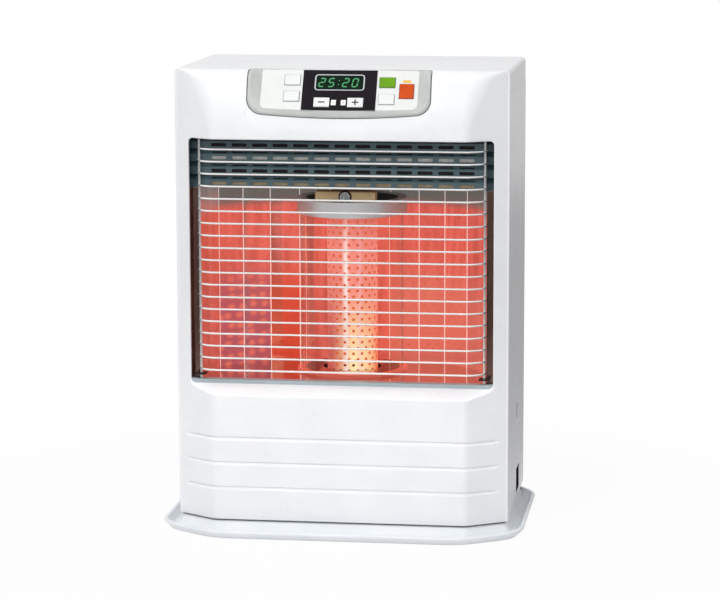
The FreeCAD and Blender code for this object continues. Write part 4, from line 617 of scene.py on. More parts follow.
reflector_low, reflector_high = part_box("reflector")
REFLECTOR_RADIUS = 250 * MM
REFLECTOR_SHEET = 0.6 * MM
REFLECTOR_GAP = 0.8 * MM
FOLD_ANGLE = math.radians(11)
FOLDS = 5
BEAD_HALF = 0.7 * MM
BEAD_RISE = 0.5 * MM
BEAD_STEPS = 6
FIRE_FADE = 400 * MM
FIRE_FULL = 330 * MM
PAINTED_HOLE_REFLECTION = 15 * MM
PAINTED_FIRE_REFLECTIONS = ((-5, -3, "#8E4E5C"), (-3, -2, "#BC3A20"), (1, 5, "#B66458"), (-6, -3, "#D8705C"))
middle_depth = reflector_high.y - REFLECTOR_RADIUS * math.cos(FOLD_ANGLE) - REFLECTOR_GAP
reflector_middle = Vector((0.0, middle_depth))
reflector_line = []
for number in range(-FOLDS, FOLDS + 1):
    if number:
        outer_way = Vector((math.sin(number * FOLD_ANGLE), math.cos(number * FOLD_ANGLE)))
        fold = reflector_middle + REFLECTOR_RADIUS * outer_way
        along = Vector((outer_way.y, -outer_way.x))
        for step in range(BEAD_STEPS + 1):
            turn = math.pi * step / BEAD_STEPS
            bead = along * BEAD_HALF * math.cos(turn) + outer_way * BEAD_RISE * math.sin(turn)
            reflector_line.append(fold - bead)
bm = bmesh.new()
bridge(bm, [[(spot.x, spot.y, height) for spot in reflector_line]
            for height in (reflector_low.z, reflector_high.z)], closed=False)
for index, face in enumerate(bm.faces):
    face.material_index = 1 if index % (BEAD_STEPS + 1) < BEAD_STEPS else 0
reflector_mesh = shape("reflector_sheet", bm)
reflector_mesh.shade_flat()

# The flats' steel is tinted pink with painted firelight and glows with it beside the fire, plain grey steel
# above.
reflector_steel_painted_firelight, tree, shader = polished("stainless_steel_painted_firelight", "#A07868", "#966E5F", 0.06)
unlit = paint_firelight(tree, shader, ("#A64A43", "#C25C53"), "#4A524F", 1.0)
overlay(tree, shader, "Base Color", unlit, "#8E928F")
place = whereabouts(tree)
low = add(tree, "MapRange", {"Value": place["Z"], "From Min": FIRE_FADE, "From Max": FIRE_FULL,
                             "To Max": 0.8}, interpolation_type="SMOOTHSTEP")
upright = add(tree, "CombineXYZ", {"X": place["X"], "Y": place["Z"]})
cells = add(tree, "TexVoronoi", {"Vector": upright, "Scale": 1 / PAINTED_HOLE_REFLECTION, "Randomness": 0.4},
            voronoi_dimensions="2D")
holes = add(tree, "MapRange", {"Value": cells, "From Min": 0.42, "From Max": 0.14, "To Max": 0.9})
holes = add(tree, "Math", {0: low, 1: holes}, operation="MULTIPLY")
# Painted reflections: bands of red and purple where the flats would mirror the hot tube, and soft spots for
# its holes.
for (first, last, colour), depth in zip(PAINTED_FIRE_REFLECTIONS, (low, low, low, holes)):
    left, right = (REFLECTOR_RADIUS * math.sin(number * FOLD_ANGLE) for number in (first, last))
    flat = add(tree, "Math", {0: place["X"], 1: (left + right) / 2, 2: (right - left) / 2},
               operation="COMPARE")
    share = add(tree, "Math", {0: flat, 1: depth}, operation="MULTIPLY")
    overlay(tree, shader, "Emission Color", share, colour)
# Painted highlight: the beads are pale and glow pink beside the fire, a thin bright line along each fold.
bead_painted_highlight, tree, shader = skin("bead_steel_painted_highlight", "#F6ECE8", "#E8DAD6", 1.0, (0.4, 0.5), 0.002,
                                stretch=(1, 1, 10))
paint_firelight(tree, shader, ("#E8A498", "#EEB0A4"), "#B4B2AE", 0.8)
wall = walled(piece(reflector_mesh, reflector_steel_painted_firelight, "mirror_steel", ["reflector"]), REFLECTOR_SHEET)
for material in (bead_painted_highlight, zinc_sheet, zinc_sheet):
    reflector_mesh.materials.append(material)
wall.material_offset = 2
wall.material_offset_rim = 2


# Base ring of the glass
# A low turned iron collar on the hearth shelf, smooth enough to mirror the foot of the tube. Its pink tint is
# painted firelight;
# inside the glass at both sides it is darkened with painted shade, and its rim is darker with a dull painted
# fire glow.

RIM_START = 72 * MM
RIM_EDGE = 2 * MM
RIM_PAINTED_FIRELIGHT = 0.8
SIDE_SHADE_START = 40 * MM
SIDE_SHADE_EDGE = 6 * MM
# The collar's pink tint is painted firelight on the iron.
collar_iron_painted_light, tree, shader = polished("collar_iron_painted_shade_and_firelight", "#D8B4A8", "#C8A498", 0.1)
place = whereabouts(tree)
depth = add(tree, "Math", {0: place["Y"], 1: TUBE_AXIS}, operation="SUBTRACT")
in_plan = add(tree, "CombineXYZ", {"X": place["X"], "Y": depth})
radius = add(tree, "VectorMath", {0: in_plan}, "Value", operation="LENGTH")
sideways = add(tree, "Math", {0: place["X"]}, operation="ABSOLUTE")
outside = add(tree, "MapRange", {"Value": radius, "From Min": RIM_START, "From Max": RIM_START + RIM_EDGE})
inside = add(tree, "Math", {0: 1.0, 1: outside}, operation="SUBTRACT")
beside = add(tree, "MapRange", {"Value": sideways, "From Min": SIDE_SHADE_START,
                                "From Max": SIDE_SHADE_START + SIDE_SHADE_EDGE})
painted_side_shade = add(tree, "Math", {0: inside, 1: beside}, operation="MULTIPLY")
# Painted shade: dark inside the glass at both sides of the tube.
overlay(tree, shader, "Base Color", painted_side_shade, "#4A201C")
# Painted firelight: the rim is darker and glows dully with the fire's colour.
overlay(tree, shader, "Base Color", outside, "#8A4A40")
shader.inputs["Emission Color"].default_value = linear("#C2584A")
rim_painted_firelight = add(tree, "Math", {0: outside, 1: RIM_PAINTED_FIRELIGHT}, operation="MULTIPLY")
tree.links.new(rim_painted_firelight, shader.inputs["Emission Strength"])
rounded("base_ring_casting", "glass_base_ring", 0.8, collar_iron_painted_light, "dark_iron")


# Rear panel, screws and fan guard
# The back is a flat galvanised sheet with round openings, held by eight pan-head screws; a welded
# ring guard covers the fan, chromed to a bright, slightly wavy gloss.

dress(zinc_sheet, "rear_panel")
rounded("rear_screw_heads", "panel_screws", 0.9, plated_steel, "ring_steel")
chrome = skin("chromed_wire", "#FBFBFA", "#F0F1F1", 2.0, (0.1, 0.2), 0.004, Metallic=0.7)[0]
dress(chrome, "rear_fan_guard")


# Side panels
# Plain enamelled steel sheets, hooked into the base plate and turned in behind the front; the right
# one has a lever slot and a small grip slot.

white_enamel = enamel("baked_white_enamel", "#F1F2F4", "#ECEDF0", 0.3)
for node in ("left_side_panel", "right_side_panel"):
    rounded(node + "_sheet", node, 0.5, white_enamel, "white_enamel", 2)


# Top cover
# A drawn steel lid, enamelled with the rest; its side and rear edges are turned down over the side
# panels round a wide radius.

cover_low, cover_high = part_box("top_cover")
COVER_BEND = 7 * MM
COVER_SHEET = 1.1 * MM
SEAM_GAP = 0.5 * MM
bm = bmesh.new()
bmesh.ops.create_cube(bm, size=1.0)
for vert in bm.verts:
    for axis in range(3):
        vert.co[axis] = cover_high[axis] if vert.co[axis] > 0 else cover_low[axis]
open_faces = [face for face in bm.faces if face.normal.z < -0.5 or face.normal.y < -0.5]
bmesh.ops.delete(bm, geom=open_faces, context="FACES_ONLY")
bends = [edge for edge in bm.edges if len(edge.link_faces) == 2]
bmesh.ops.bevel(bm, geom=bends, offset=COVER_BEND, offset_type="OFFSET", segments=6, profile=0.5,
                affect="EDGES")
for vert in bm.verts:
    vert.co.z = max(vert.co.z, cover_low.z + SEAM_GAP)
cover = piece(shape("top_cover_pressing", bm), white_enamel, "white_enamel", ["top_cover"])
walled(cover, COVER_SHEET)
evened(cover)


# Front panel
# One deep-drawn enamelled sheet: flat middle, angled flanks and a header that leans back and rolls
# over into the top. It has the window, the ledge under it, three pressed lines and the panel recess.

HALF = cabinet_high.x
FRONT = cabinet_low.y
SEAM = cabinet_high.y
FOOT = cabinet_low.z
TOP = cabinet_high.z
FRONT_SHEET = 0.9 * MM
FLANK_SLOPE = (SEAM - FRONT) / (HALF - FOLD)
FOLD_SOFT = 3.5 * MM
FOLD_REACH = 10 * MM
HEADER_SOFT = 9 * MM
HEADER_FOOT = TOP - 62 * MM
HEADER_LEAN = 17 * MM
HEADER_ROUND = 23 * MM
HEADER_EASE = 26 * MM
HEADER_BLEND = 20 * MM
HEM = 6 * MM
HEM_BEND = 1.2 * MM
lean_angle = math.atan2(HEADER_LEAN, TOP - HEADER_FOOT)
round_turn = math.pi / 2 - lean_angle
round_run = HEADER_ROUND * math.tan(round_turn / 2)
lean_run = (TOP - HEADER_FOOT) / math.cos(lean_angle) - round_run
arc_run = HEADER_ROUND * round_turn
flat_run = SEAM - HEM_BEND - (FRONT + HEADER_LEAN + round_run)
SKIN_END = HEADER_FOOT + lean_run + arc_run + flat_run
LEDGE_FOOT = 210 * MM
LEDGE_START = LEDGE_FOOT - 5 * MM
LEDGE_TOP = 222.5 * MM
LEDGE_DEPTH = 23 * MM
LEDGE_SOFT = 1.5 * MM
WINDOW_HALF = 229 * MM
WINDOW_TOP = 595 * MM
WINDOW_BEND = 8 * MM
POD_HALF = 137 * MM
POD_LOW = 626 * MM
POD_BOW = 5 * MM
POD_BEND = 24 * MM
POD_CORNER = POD_LOW + POD_BOW + POD_BEND
POD_TOP_BEND = 13 * MM
POD_SHOULDER = SKIN_END - POD_TOP_BEND
POD_DISH = 1.4 * MM
DISH_START = 2 * MM
DISH_REACH = 24 * MM
CORNER_REACH = 46 * MM
GROOVES = [z * MM for z in (69.2, 107.2, 145.2)]
GROOVE_DEPTH = 2.3 * MM
GROOVE_ABOVE = 2.2 * MM
GROOVE_BELOW = 4.5 * MM
GROOVE_EDGE = 0.6 * MM
GROOVE_END = HALF - 14 * MM
GROOVE_FADE = 5 * MM
LEDGE_ROWS = 14
SIDE_ROWS = 10
HEAD_ROWS = 26
ROUND_ROWS = 24
SHOULDER_ROWS = 8


def share_of(value, start, run):
    """How far a value is along a run from its start, from 0 to 1."""
    return min(max((value - start) / run, 0.0), 1.0)


def ease(value, start, end):
    """0 before start, 1 after end and a smooth rise between them."""
    share = share_of(value, start, end - start)
    return share * share * (3 - 2 * share)


def soft_max(a, b, soft):
    """The greater of two depths, rounded off where they are within soft of each other."""
    gap = max(soft - abs(a - b), 0.0) / soft
    return max(a, b) + gap * gap * soft / 4


def header_line(along):
    """Depth and height of the front's upright profile, so far along it from the floor."""
    if along <= HEADER_FOOT - HEADER_EASE:
        return FRONT, along
    if along <= HEADER_FOOT + HEADER_EASE:
        eased = (along - HEADER_FOOT + HEADER_EASE) ** 2 / (4 * HEADER_EASE)
        return FRONT + eased * math.sin(lean_angle), along - eased * (1 - math.cos(lean_angle))
    run = along - HEADER_FOOT
    if run <= lean_run:
        return FRONT + run * math.sin(lean_angle), HEADER_FOOT + run * math.cos(lean_angle)
    start = Vector((FRONT + lean_run * math.sin(lean_angle), HEADER_FOOT + lean_run * math.cos(lean_angle)))
    middle = start + HEADER_ROUND * Vector((math.cos(lean_angle), -math.sin(lean_angle)))
    turn = lean_angle + min(run - lean_run, arc_run) / HEADER_ROUND
    depth = middle.x - HEADER_ROUND * math.cos(turn)
    return depth + max(run - lean_run - arc_run, 0.0), middle.y + HEADER_ROUND * math.sin(turn)


def rounding(x, half, bend):
    """How far a rounded corner of an opening has come in at this x."""
    return bend * (1 - math.sqrt(1 - share_of(abs(x), half - bend, bend) ** 2))


def pod_edge(x):
    """How high along the profile the recess for the control panel starts at this x."""
    bow = POD_BOW * min(abs(x) / (POD_HALF - POD_BEND), 1.0) ** 2
    return POD_LOW + bow + rounding(x, POD_HALF, POD_BEND)


def front_skin(x, along):
    """A point of the front's outer face, so far across and so far along its upright profile."""
    depth, height = header_line(along)
    side = abs(x)
    if LEDGE_START < height <= LEDGE_TOP + WINDOW_BEND and side < WINDOW_HALF:
        ledge = FRONT + min((height - LEDGE_FOOT) / (LEDGE_TOP - LEDGE_FOOT), 1.0) * LEDGE_DEPTH
        depth = soft_max(depth, ledge, LEDGE_SOFT)
    flank = FRONT + (side - FOLD) * FLANK_SLOPE
    soft = FOLD_SOFT + (HEADER_SOFT - FOLD_SOFT) * ease(height, WINDOW_TOP, HEADER_FOOT + HEADER_BLEND)
    depth = soft_max(depth, flank, soft)
    for groove in GROOVES:
        press = ease(height, groove - GROOVE_BELOW, groove) * ease(height, groove + GROOVE_ABOVE, groove)
        depth += GROOVE_DEPTH * press * ease(side, GROOVE_END, GROOVE_END - GROOVE_FADE)
    beside = max(side - POD_HALF, 0.0)
    below = max(pod_edge(x) - along, 0.0)
    depth += POD_DISH * (1 - ease(math.hypot(beside, below), DISH_START, DISH_REACH))
    drop = rounding(x, HALF, COVER_BEND)
    height -= drop * share_of(height, TOP - CORNER_REACH, CORNER_REACH)
    return Vector((x, min(depth, SEAM - SEAM_GAP - HEM_BEND), height))


def spread(start, end, count):
    """Count steps from start to end, without the end."""
    return [start + (end - start) * step / count for step in range(count)]


def quarter(start, radius, count):
    """Steps of a quarter circle across, from its start to its end, without the end."""
    return [start + radius * math.sin(math.pi / 2 * step / count) for step in range(count)]


right_lines = (
    spread(0.0, POD_HALF - POD_BEND, 14)
    + quarter(POD_HALF - POD_BEND, POD_BEND, 14)
    + spread(POD_HALF, FOLD - FOLD_REACH, 8)
    + spread(FOLD - FOLD_REACH, FOLD + FOLD_REACH, 14)
    + spread(FOLD + FOLD_REACH, WINDOW_HALF - WINDOW_BEND, 8)
    + quarter(WINDOW_HALF - WINDOW_BEND, WINDOW_BEND, 6)
    + spread(WINDOW_HALF, HALF - COVER_BEND, 8)
    + spread(HALF - COVER_BEND, HALF - HEM_BEND, 5)
    + [HALF - HEM_BEND]
)
lines = [-x for x in reversed(right_lines[1:])] + right_lines
low_rows = [FOOT + HEM_BEND]
for groove in GROOVES:
    low_rows += spread(low_rows[-1], groove - GROOVE_BELOW - GROOVE_EDGE, 3)[1:]
    low_rows += [groove - GROOVE_BELOW - GROOVE_EDGE] + spread(groove - GROOVE_BELOW, groove, 4)
    low_rows += spread(groove, groove + GROOVE_ABOVE, 3)
    low_rows += [groove + GROOVE_ABOVE, groove + GROOVE_ABOVE + GROOVE_EDGE]
low_rows += spread(low_rows[-1], LEDGE_START, 6)[1:]


def column(x):
    """The rows of one column of the front, in blocks: below the window, beside it and above it, then
    beside the recess and over its upper corners."""
    side = abs(x)
    window_low = LEDGE_TOP + rounding(x, WINDOW_HALF, WINDOW_BEND)
    window_high = WINDOW_TOP - rounding(x, WINDOW_HALF, WINDOW_BEND)
    recess = pod_edge(x) if side < POD_HALF else POD_CORNER
    shoulder = SKIN_END - rounding(x, POD_HALF, POD_TOP_BEND)
    blocks = (
        (True, LEDGE_START, window_low, LEDGE_ROWS),
        (side >= WINDOW_HALF, window_low, window_high, SIDE_ROWS),
        (True, window_high, recess, HEAD_ROWS),
        (side >= POD_HALF, recess, POD_SHOULDER, ROUND_ROWS),
        (side > POD_HALF - POD_TOP_BEND, shoulder, SKIN_END, SHOULDER_ROWS),
    )
    rows = [spread(start, end, count) + [end] if there else None for there, start, end, count in blocks]
    return [low_rows + rows[0]] + rows[1:]


bm = bmesh.new()
columns = [[block and [bm.verts.new(front_skin(x, along)) for along in block] for block in column(x)]
           for x in lines]
for left, right in zip(columns, columns[1:]):
    for block_left, block_right in zip(left, right):
        if block_left and block_right:
            for corners in zip(block_left, block_right, block_right[1:], block_left[1:]):
                bm.faces.new(corners)
bmesh.ops.remove_doubles(bm, verts=bm.verts, dist=0.01 * MM)
bmesh.ops.delete(bm, geom=[vert for vert in bm.verts if not vert.link_faces], context="VERTS")

start_layer = bm.verts.layers.float_vector.new("start")
for vert in bm.verts:
    vert[start_layer] = vert.co


def hem(depth, wanted, turn_in):
    """Turns the wanted open edges in: round a small bend, then straight back to that depth."""
    edges = [edge for edge in bm.edges if edge.is_boundary and all(wanted(vert.co) for vert in edge.verts)]
    for share, run in ((0.3, 0.12), (0.75, 0.45), (1.0, 1.0), (1.0, depth / HEM_BEND)):
        made = bmesh.ops.extrude_edge_only(bm, edges=edges)["geom"]
        for vert in made:
            if isinstance(vert, bmesh.types.BMVert):
                origin = Vector(vert[start_layer])
                vert.co = origin + turn_in(origin, share * HEM_BEND, run * HEM_BEND)
        edges = [item for item in made if isinstance(item, bmesh.types.BMEdge)]


def window_turn(point, aside, back):
    """Into the window and back from its face."""
    inner = Vector((min(max(point.x, WINDOW_BEND - WINDOW_HALF), WINDOW_HALF - WINDOW_BEND),
                    min(max(point.z, LEDGE_TOP + WINDOW_BEND), WINDOW_TOP - WINDOW_BEND)))
    way = (inner - Vector((point.x, point.z))).normalized()
    return Vector((way.x * aside, back, way.y * aside))


# The window's edge turns back into the window, and the recess's straight back, hardly narrowing it.
NEAR = 0.1 * MM
hem(HEM, lambda p: abs(p.x) < WINDOW_HALF + NEAR and LEDGE_TOP - NEAR < p.z < WINDOW_TOP + NEAR, window_turn)
hem(HEM, lambda p: abs(p.x) < POD_HALF + NEAR and p.z > POD_LOW - 1 * MM and p.y < SEAM - 1 * MM,
    lambda p, aside, back: Vector((0.0, back, -0.3 * aside if p.z > TOP - 2 * MM else 0.0)))
# The foot turns in under the cabinet, the flanks' edges towards the sides, the head down at the cover.
hem(HEM, lambda p: p.z < FOOT + HEM_BEND + NEAR, lambda p, aside, back: Vector((0.0, back, -aside)))
hem(1.3 * HEM_BEND, lambda p: abs(p.x) > HALF - HEM_BEND - NEAR,
    lambda p, aside, back: Vector((math.copysign(aside, p.x), back, 0.0)))
hem(HEM, lambda p: p.y > SEAM - SEAM_GAP - HEM_BEND - NEAR and p.z > TOP - COVER_BEND,
    lambda p, aside, back: Vector((0.0, aside, -back)))
walled(piece(shape("front_pressing", bm, 50), white_enamel, "white_enamel", ["front_panel"]), FRONT_SHEET)


# Window sill trim
# A grey enamelled strip across the whole foot of the window; it closes the gap between the window's
# lower edge and the hearth, and its ends run back behind the flanks.

sill_low, sill_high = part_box("window_sill_trim")
SILL_REACH = 240 * MM
SILL_BACK = 9 * MM
SILL_EDGE = 1.2 * MM
sill_plan = [(-SILL_REACH, sill_high.y), (-SILL_REACH, sill_low.y + SILL_BACK), (sill_low.x, sill_low.y),
             (sill_high.x, sill_low.y), (SILL_REACH, sill_low.y + SILL_BACK), (SILL_REACH, sill_high.y)]
sill_profile = ((0.0, sill_low.z + 0.2 * MM), (0.0, sill_high.z - SILL_EDGE),
                (0.3 * SILL_EDGE, sill_high.z - 0.3 * SILL_EDGE), (SILL_EDGE, sill_high.z))
sill_loops = [[(x, y + (run if y < sill_high.y else 0.0), height) for x, y in sill_plan]
              for run, height in sill_profile]
sill_grey = enamel("grey_sill_enamel", "#AAB6BB", "#9FACB2", 0.35)
evened(piece(lofted("sill_strip", sill_loops, 60, head=True, foot=True), sill_grey, "trim_enamel",
             ["window_sill_trim"]))


# Louvre
# A steel sheet pressed into four sloping steps, with a row of slots in each face and a thinner row
# in each slope; the warm air leaves through them. Its heat-proof enamel is dark blue-grey, with painted shade
# darkening both ends, and plain or tanned steel baffles stand behind the slots; behind two rows dark iron
# sheets stand for the shade inside.

louvre_low, louvre_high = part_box("louvre_panel")
FACE_TALL = 11 * MM
STEP_DEPTH = 7 * MM
STEP_RISE = 5 * MM
STEP_FALL = 3.25 * MM
STEP_PITCH = 19.25 * MM
STEPS = 4
LOUVRE_END = 212 * MM
LOUVRE_END_FADE = 3 * MM
LOUVRE_WELD = 0.01 * MM
louvre_sizes = {
    "width": louvre_high.x - louvre_low.x,
    "face height": FACE_TALL,
    "slope length": math.hypot(STEP_RISE, STEP_DEPTH),
    "under length": math.hypot(STEP_FALL, STEP_DEPTH),
    "flange height": 14 * MM,
    "slot length": 23 * MM,
    "face slot": 5 * MM,
    "slope slot": 3.4 * MM,
    "slot pitch": 31 * MM,
    "slots": 13,
    "steps": STEPS,
    "step pitch": STEP_PITCH,
    "sheet": 0.9 * MM,
}
louvre_blue = enamel("blue_grey_heat_enamel", "#546A71", "#4C6067", 0.4)
tree = louvre_blue.node_tree
# Painted shade: the enamel goes darker past both ends of the slots.
off = add(tree, "Math", {0: whereabouts(tree)["X"]}, operation="ABSOLUTE")
painted_end_shade = add(tree, "MapRange", {"Value": off, "From Min": LOUVRE_END,
                                  "From Max": LOUVRE_END + LOUVRE_END_FADE})
overlay(tree, tree.nodes["Principled BSDF"], "Base Color", painted_end_shade, "#2C4047")
tree, size, result = geometry_tree("slotted_louvre", louvre_sizes)


def strip(angle, depth, level, height, slot_height=None):
    """A strip of that height with a row of round-ended slots, turned up by an angle about its lower
    edge, which lies at that depth and level."""
    outlines = [add(tree, "CurvePrimitiveQuadrilateral", {"Width": size["width"], "Height": height})]
    if slot_height:
        slot = add(tree, "CurvePrimitiveQuadrilateral", {"Width": size["slot length"],
                                                         "Height": slot_height})
        end = add(tree, "Math", {0: slot_height, 1: 0.45}, operation="MULTIPLY")
        slot = add(tree, "FilletCurve", {"Curve": slot, "Radius": end, "Count": 3}, mode="POLY")
        aside = add(tree, "CombineXYZ", {"X": size["slot pitch"]})
        start = add(tree, "Math", {0: size["slots"], 1: -1.0}, operation="ADD")
        for factor in (size["slot pitch"], -0.5):
            start = add(tree, "Math", {0: start, 1: factor}, operation="MULTIPLY")
        slots = row(tree, slot, size["slots"], aside, add(tree, "CombineXYZ", {"X": start}))
        outlines.append(add(tree, "RealizeInstances", {"Geometry": slots}))
    flat = add(tree, "JoinGeometry", {"Geometry": tuple(outlines)})
    flat = add(tree, "FillCurve", {"Curve": flat})
    half = add(tree, "Math", {0: height, 1: 0.5}, operation="MULTIPLY")
    lift = add(tree, "CombineXYZ", {"Y": half})
    flat = add(tree, "Transform", {"Geometry": flat, "Translation": lift})
    return add(tree, "Transform", {"Geometry": flat, "Rotation": (angle, 0.0, 0.0),
                                   "Translation": (0.0, depth, level)})


UPRIGHT = math.pi / 2
SLOPE_ANGLE = math.atan2(STEP_RISE, STEP_DEPTH)
UNDER_ANGLE = math.pi - math.atan2(STEP_FALL, STEP_DEPTH)
slope_foot = louvre_low.z + FACE_TALL
face = strip(UPRIGHT, louvre_low.y, louvre_low.z, size["face height"], size["face slot"])
slope = strip(SLOPE_ANGLE, louvre_low.y, slope_foot, size["slope length"], size["slope slot"])
under = strip(UNDER_ANGLE, louvre_low.y + STEP_DEPTH, slope_foot + STEP_RISE, size["under length"])
one_step = add(tree, "JoinGeometry", {"Geometry": (face, slope, under)})
climb = add(tree, "CombineXYZ", {"Z": size["step pitch"]})
steps = row(tree, one_step, size["steps"], climb)
flange = strip(UPRIGHT, louvre_low.y, louvre_low.z + STEPS * STEP_PITCH, size["flange height"])
pressing = add(tree, "JoinGeometry", {"Geometry": (steps, flange)})
pressing = add(tree, "RealizeInstances", {"Geometry": pressing})
pressing = add(tree, "MergeByDistance", {"Geometry": pressing, "Distance": LOUVRE_WELD})
pressing = double_skin(tree, pressing, size["sheet"], LOUVRE_WELD)[0]
tree.links.new(plain(tree, pressing, louvre_blue), result)
piece(grown(tree, louvre_sizes), None, "louvre_enamel", ["louvre_panel"])

BAFFLE_GAP = 2.2 * MM
BAFFLE_INSET = 36 * MM
BAFFLE_SHEET = 0.8 * MM
BAFFLE_TALL = 9.5 * MM
BAFFLE_RISE = 1.2 * MM
baffle_reach = louvre_high.x - BAFFLE_INSET
baffle_near = louvre_low.y + BAFFLE_GAP
baffle_far = baffle_near + BAFFLE_SHEET
baffle_plan = [(-baffle_reach, baffle_near), (baffle_reach, baffle_near),
               (baffle_reach, baffle_far), (-baffle_reach, baffle_far)]
baffle_steel, tanned_baffle = (
    skin(name, pale, dark, 9.0, (0.45, 0.6), 0.004, Metallic=0.2)[0]
    for name, pale, dark in (("aluminised_baffle_steel", "#C8C9C6", "#ACACA6"),
                             ("heat_tanned_baffle_steel", "#A8977A", "#8E7F68")))
# The dark iron sheets behind the second and fourth steps are a painted shade: they stand for the dark inside
# seen through those slots.
for step, material in enumerate((tanned_baffle, dark_iron, baffle_steel, dark_iron)):
    level = louvre_low.z + step * STEP_PITCH + BAFFLE_RISE
    loops = [[(x, y, z) for x, y in baffle_plan] for z in (level, level + BAFFLE_TALL)]
    piece(lofted(f"louvre_baffle_{step + 1}", loops, head=True, foot=True), material, "galvanised_steel")


# Wire guard
# Nineteen drawn wires welded across two upright rods and bent back at both ends, chromed. The rods
# drop into dark hook plates behind the window.

guard_low, guard_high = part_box("wire_guard")
hook_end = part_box("guard_hooks")[1].x
WIRE_RADIUS = 1.5 * MM
ROD_RADIUS = 2 * MM
guard_sizes = {
    "wire radius": WIRE_RADIUS,
    "rod radius": ROD_RADIUS,
    "wire face": guard_low.y + WIRE_RADIUS,
    "bend place": 210 * MM,
    "bend radius": 28 * MM,
    "tip place": guard_high.x - 0.6 * WIRE_RADIUS,
    "tip depth": guard_high.y - ROD_RADIUS - 0.1 * MM,
    "rod place": hook_end - 8 * MM,
    "rod depth": guard_high.y - ROD_RADIUS,
    "rod foot": guard_low.z,
    "rod length": guard_high.z - guard_low.z,
    "wires": 19,
    "first wire": 246 * MM,
    "wire pitch": 18.45 * MM,
}
dress(dark_iron, "guard_hooks")
tree, size, result = geometry_tree("guard_wires", guard_sizes)


def beside(side, across, depth, level):
    """A place of the guard at its left (-1) or its right (1)."""
    x = add(tree, "Math", {0: size[across], 1: side}, operation="MULTIPLY")
    return add(tree, "CombineXYZ", {"X": x, "Y": size[depth], "Z": level})


WIRE_CORNERS = ((-1.0, "tip place", "tip depth"), (-1.0, "bend place", "wire face"),
                (1.0, "bend place", "wire face"), (1.0, "tip place", "tip depth"))
corners = {f"Point {number}": beside(*corner, size["first wire"])
           for number, corner in enumerate(WIRE_CORNERS, 1)}
path = add(tree, "CurvePrimitiveQuadrilateral", corners, mode="POINTS")
path = add(tree, "SetSplineCyclic", {"Geometry": path, "Cyclic": False})
path = add(tree, "FilletCurve", {"Curve": path, "Radius": size["bend radius"],
                                 "Limit Radius": True, "Count": 8}, mode="POLY")
round_wire = add(tree, "CurvePrimitiveCircle", {"Radius": size["wire radius"], "Resolution": 12})
wire = add(tree, "CurveToMesh", {"Curve": path, "Profile Curve": round_wire, "Fill Caps": True})
step_up = add(tree, "CombineXYZ", {"Z": size["wire pitch"]})
guard_parts = [row(tree, wire, size["wires"], step_up)]
round_rod = add(tree, "CurvePrimitiveCircle", {"Radius": size["rod radius"], "Resolution": 16})
rod_top = add(tree, "Math", {0: size["rod foot"], 1: size["rod length"]}, operation="ADD")
for side in (-1.0, 1.0):
    ends = [beside(side, "rod place", "rod depth", level) for level in (size["rod foot"], rod_top)]
    rod = add(tree, "CurvePrimitiveLine", {"Start": ends[0], "End": ends[1]})
    guard_parts.append(add(tree, "CurveToMesh", {"Curve": rod, "Profile Curve": round_rod,
                                                 "Fill Caps": True}))
welded = add(tree, "JoinGeometry", {"Geometry": tuple(guard_parts)})
tree.links.new(plain(tree, welded, chrome), result)
piece(smoothed(grown(tree, guard_sizes), 50), None, "chromed_wire", ["wire_guard"], "guard")


# Control panel bezel
# A moulded grey surround let into the header: its rim follows the header, and its sides slope in to
# the fascia, wide at both ends and narrow below.

FASCIA_LEAN = math.radians(31)
FASCIA_PLATE = 2.5 * MM
FASCIA_TALL = 67 * MM
fascia_low, fascia_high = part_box("control_fascia")
FASCIA_HALF = fascia_high.x
fascia_foot = Vector((0.0, fascia_low.y, fascia_low.z + FASCIA_PLATE * math.sin(FASCIA_LEAN)))
BEZEL_WALL = 0.5 * MM
RIM_GAP = 1.6 * MM
RIM_WIDE = 5.2 * MM
RIM_AHEAD = 0.5 * MM
FACE_EDGE = 0.5 * MM
FACE_BOW = 2.5 * MM
FACE_BEND = 9 * MM
FACE_SHOULDER = 1.0 * MM
LINE_STEPS = 16
BEND_STEPS = 8
SIDE_STEPS = 20


def on_fascia(across, up, out):
    """A point so far across the fascia, up its slope and out of its face."""
    lift = Vector((0.0, math.sin(FASCIA_LEAN), math.cos(FASCIA_LEAN))) * up
    stand = Vector((0.0, -math.cos(FASCIA_LEAN), math.sin(FASCIA_LEAN))) * out
    return fascia_foot + Vector((across, 0.0, 0.0)) + lift + stand


def u_line(half, low, bow, bend, top, shoulder):
    """An open line down the left of a recess, round its bowed foot and up the right, to its shoulder."""
    corner = low + bow + bend
    turns = [math.pi / 2 * step / BEND_STEPS for step in range(BEND_STEPS + 1)]
    right = [(x, low + bow * (x / (half - bend)) ** 2) for x in spread(0.0, half - bend, LINE_STEPS)]
    right += [(half - bend + bend * math.sin(turn), corner - bend * math.cos(turn)) for turn in turns]
    right += [(half, level) for level in spread(corner, top - shoulder, SIDE_STEPS)[1:]]
    right += [(half - shoulder * (1 - math.cos(turn)), top - shoulder * (1 - math.sin(turn)))
              for turn in turns]
    return [(-x, height) for x, height in reversed(right[1:])] + right


def header_rim(inset, sink):
    """The bezel's rim on the header, in from the recess's edge and sunk from the skin."""
    rim = []
    for x, along in u_line(POD_HALF - inset, POD_LOW + inset, POD_BOW, POD_BEND - inset, SKIN_END - inset,
                           POD_TOP_BEND - inset):
        here = Vector(header_line(along))
        way = Vector(header_line(along + RIM_AHEAD)) - here
        if way.length < 1e-9:
            way = Vector((1.0, 0.0))
        way.normalize()
        rim.append(Vector((x, min(here.x + sink * way.y, SEAM - SEAM_GAP), here.y - sink * way.x)))
    return rim


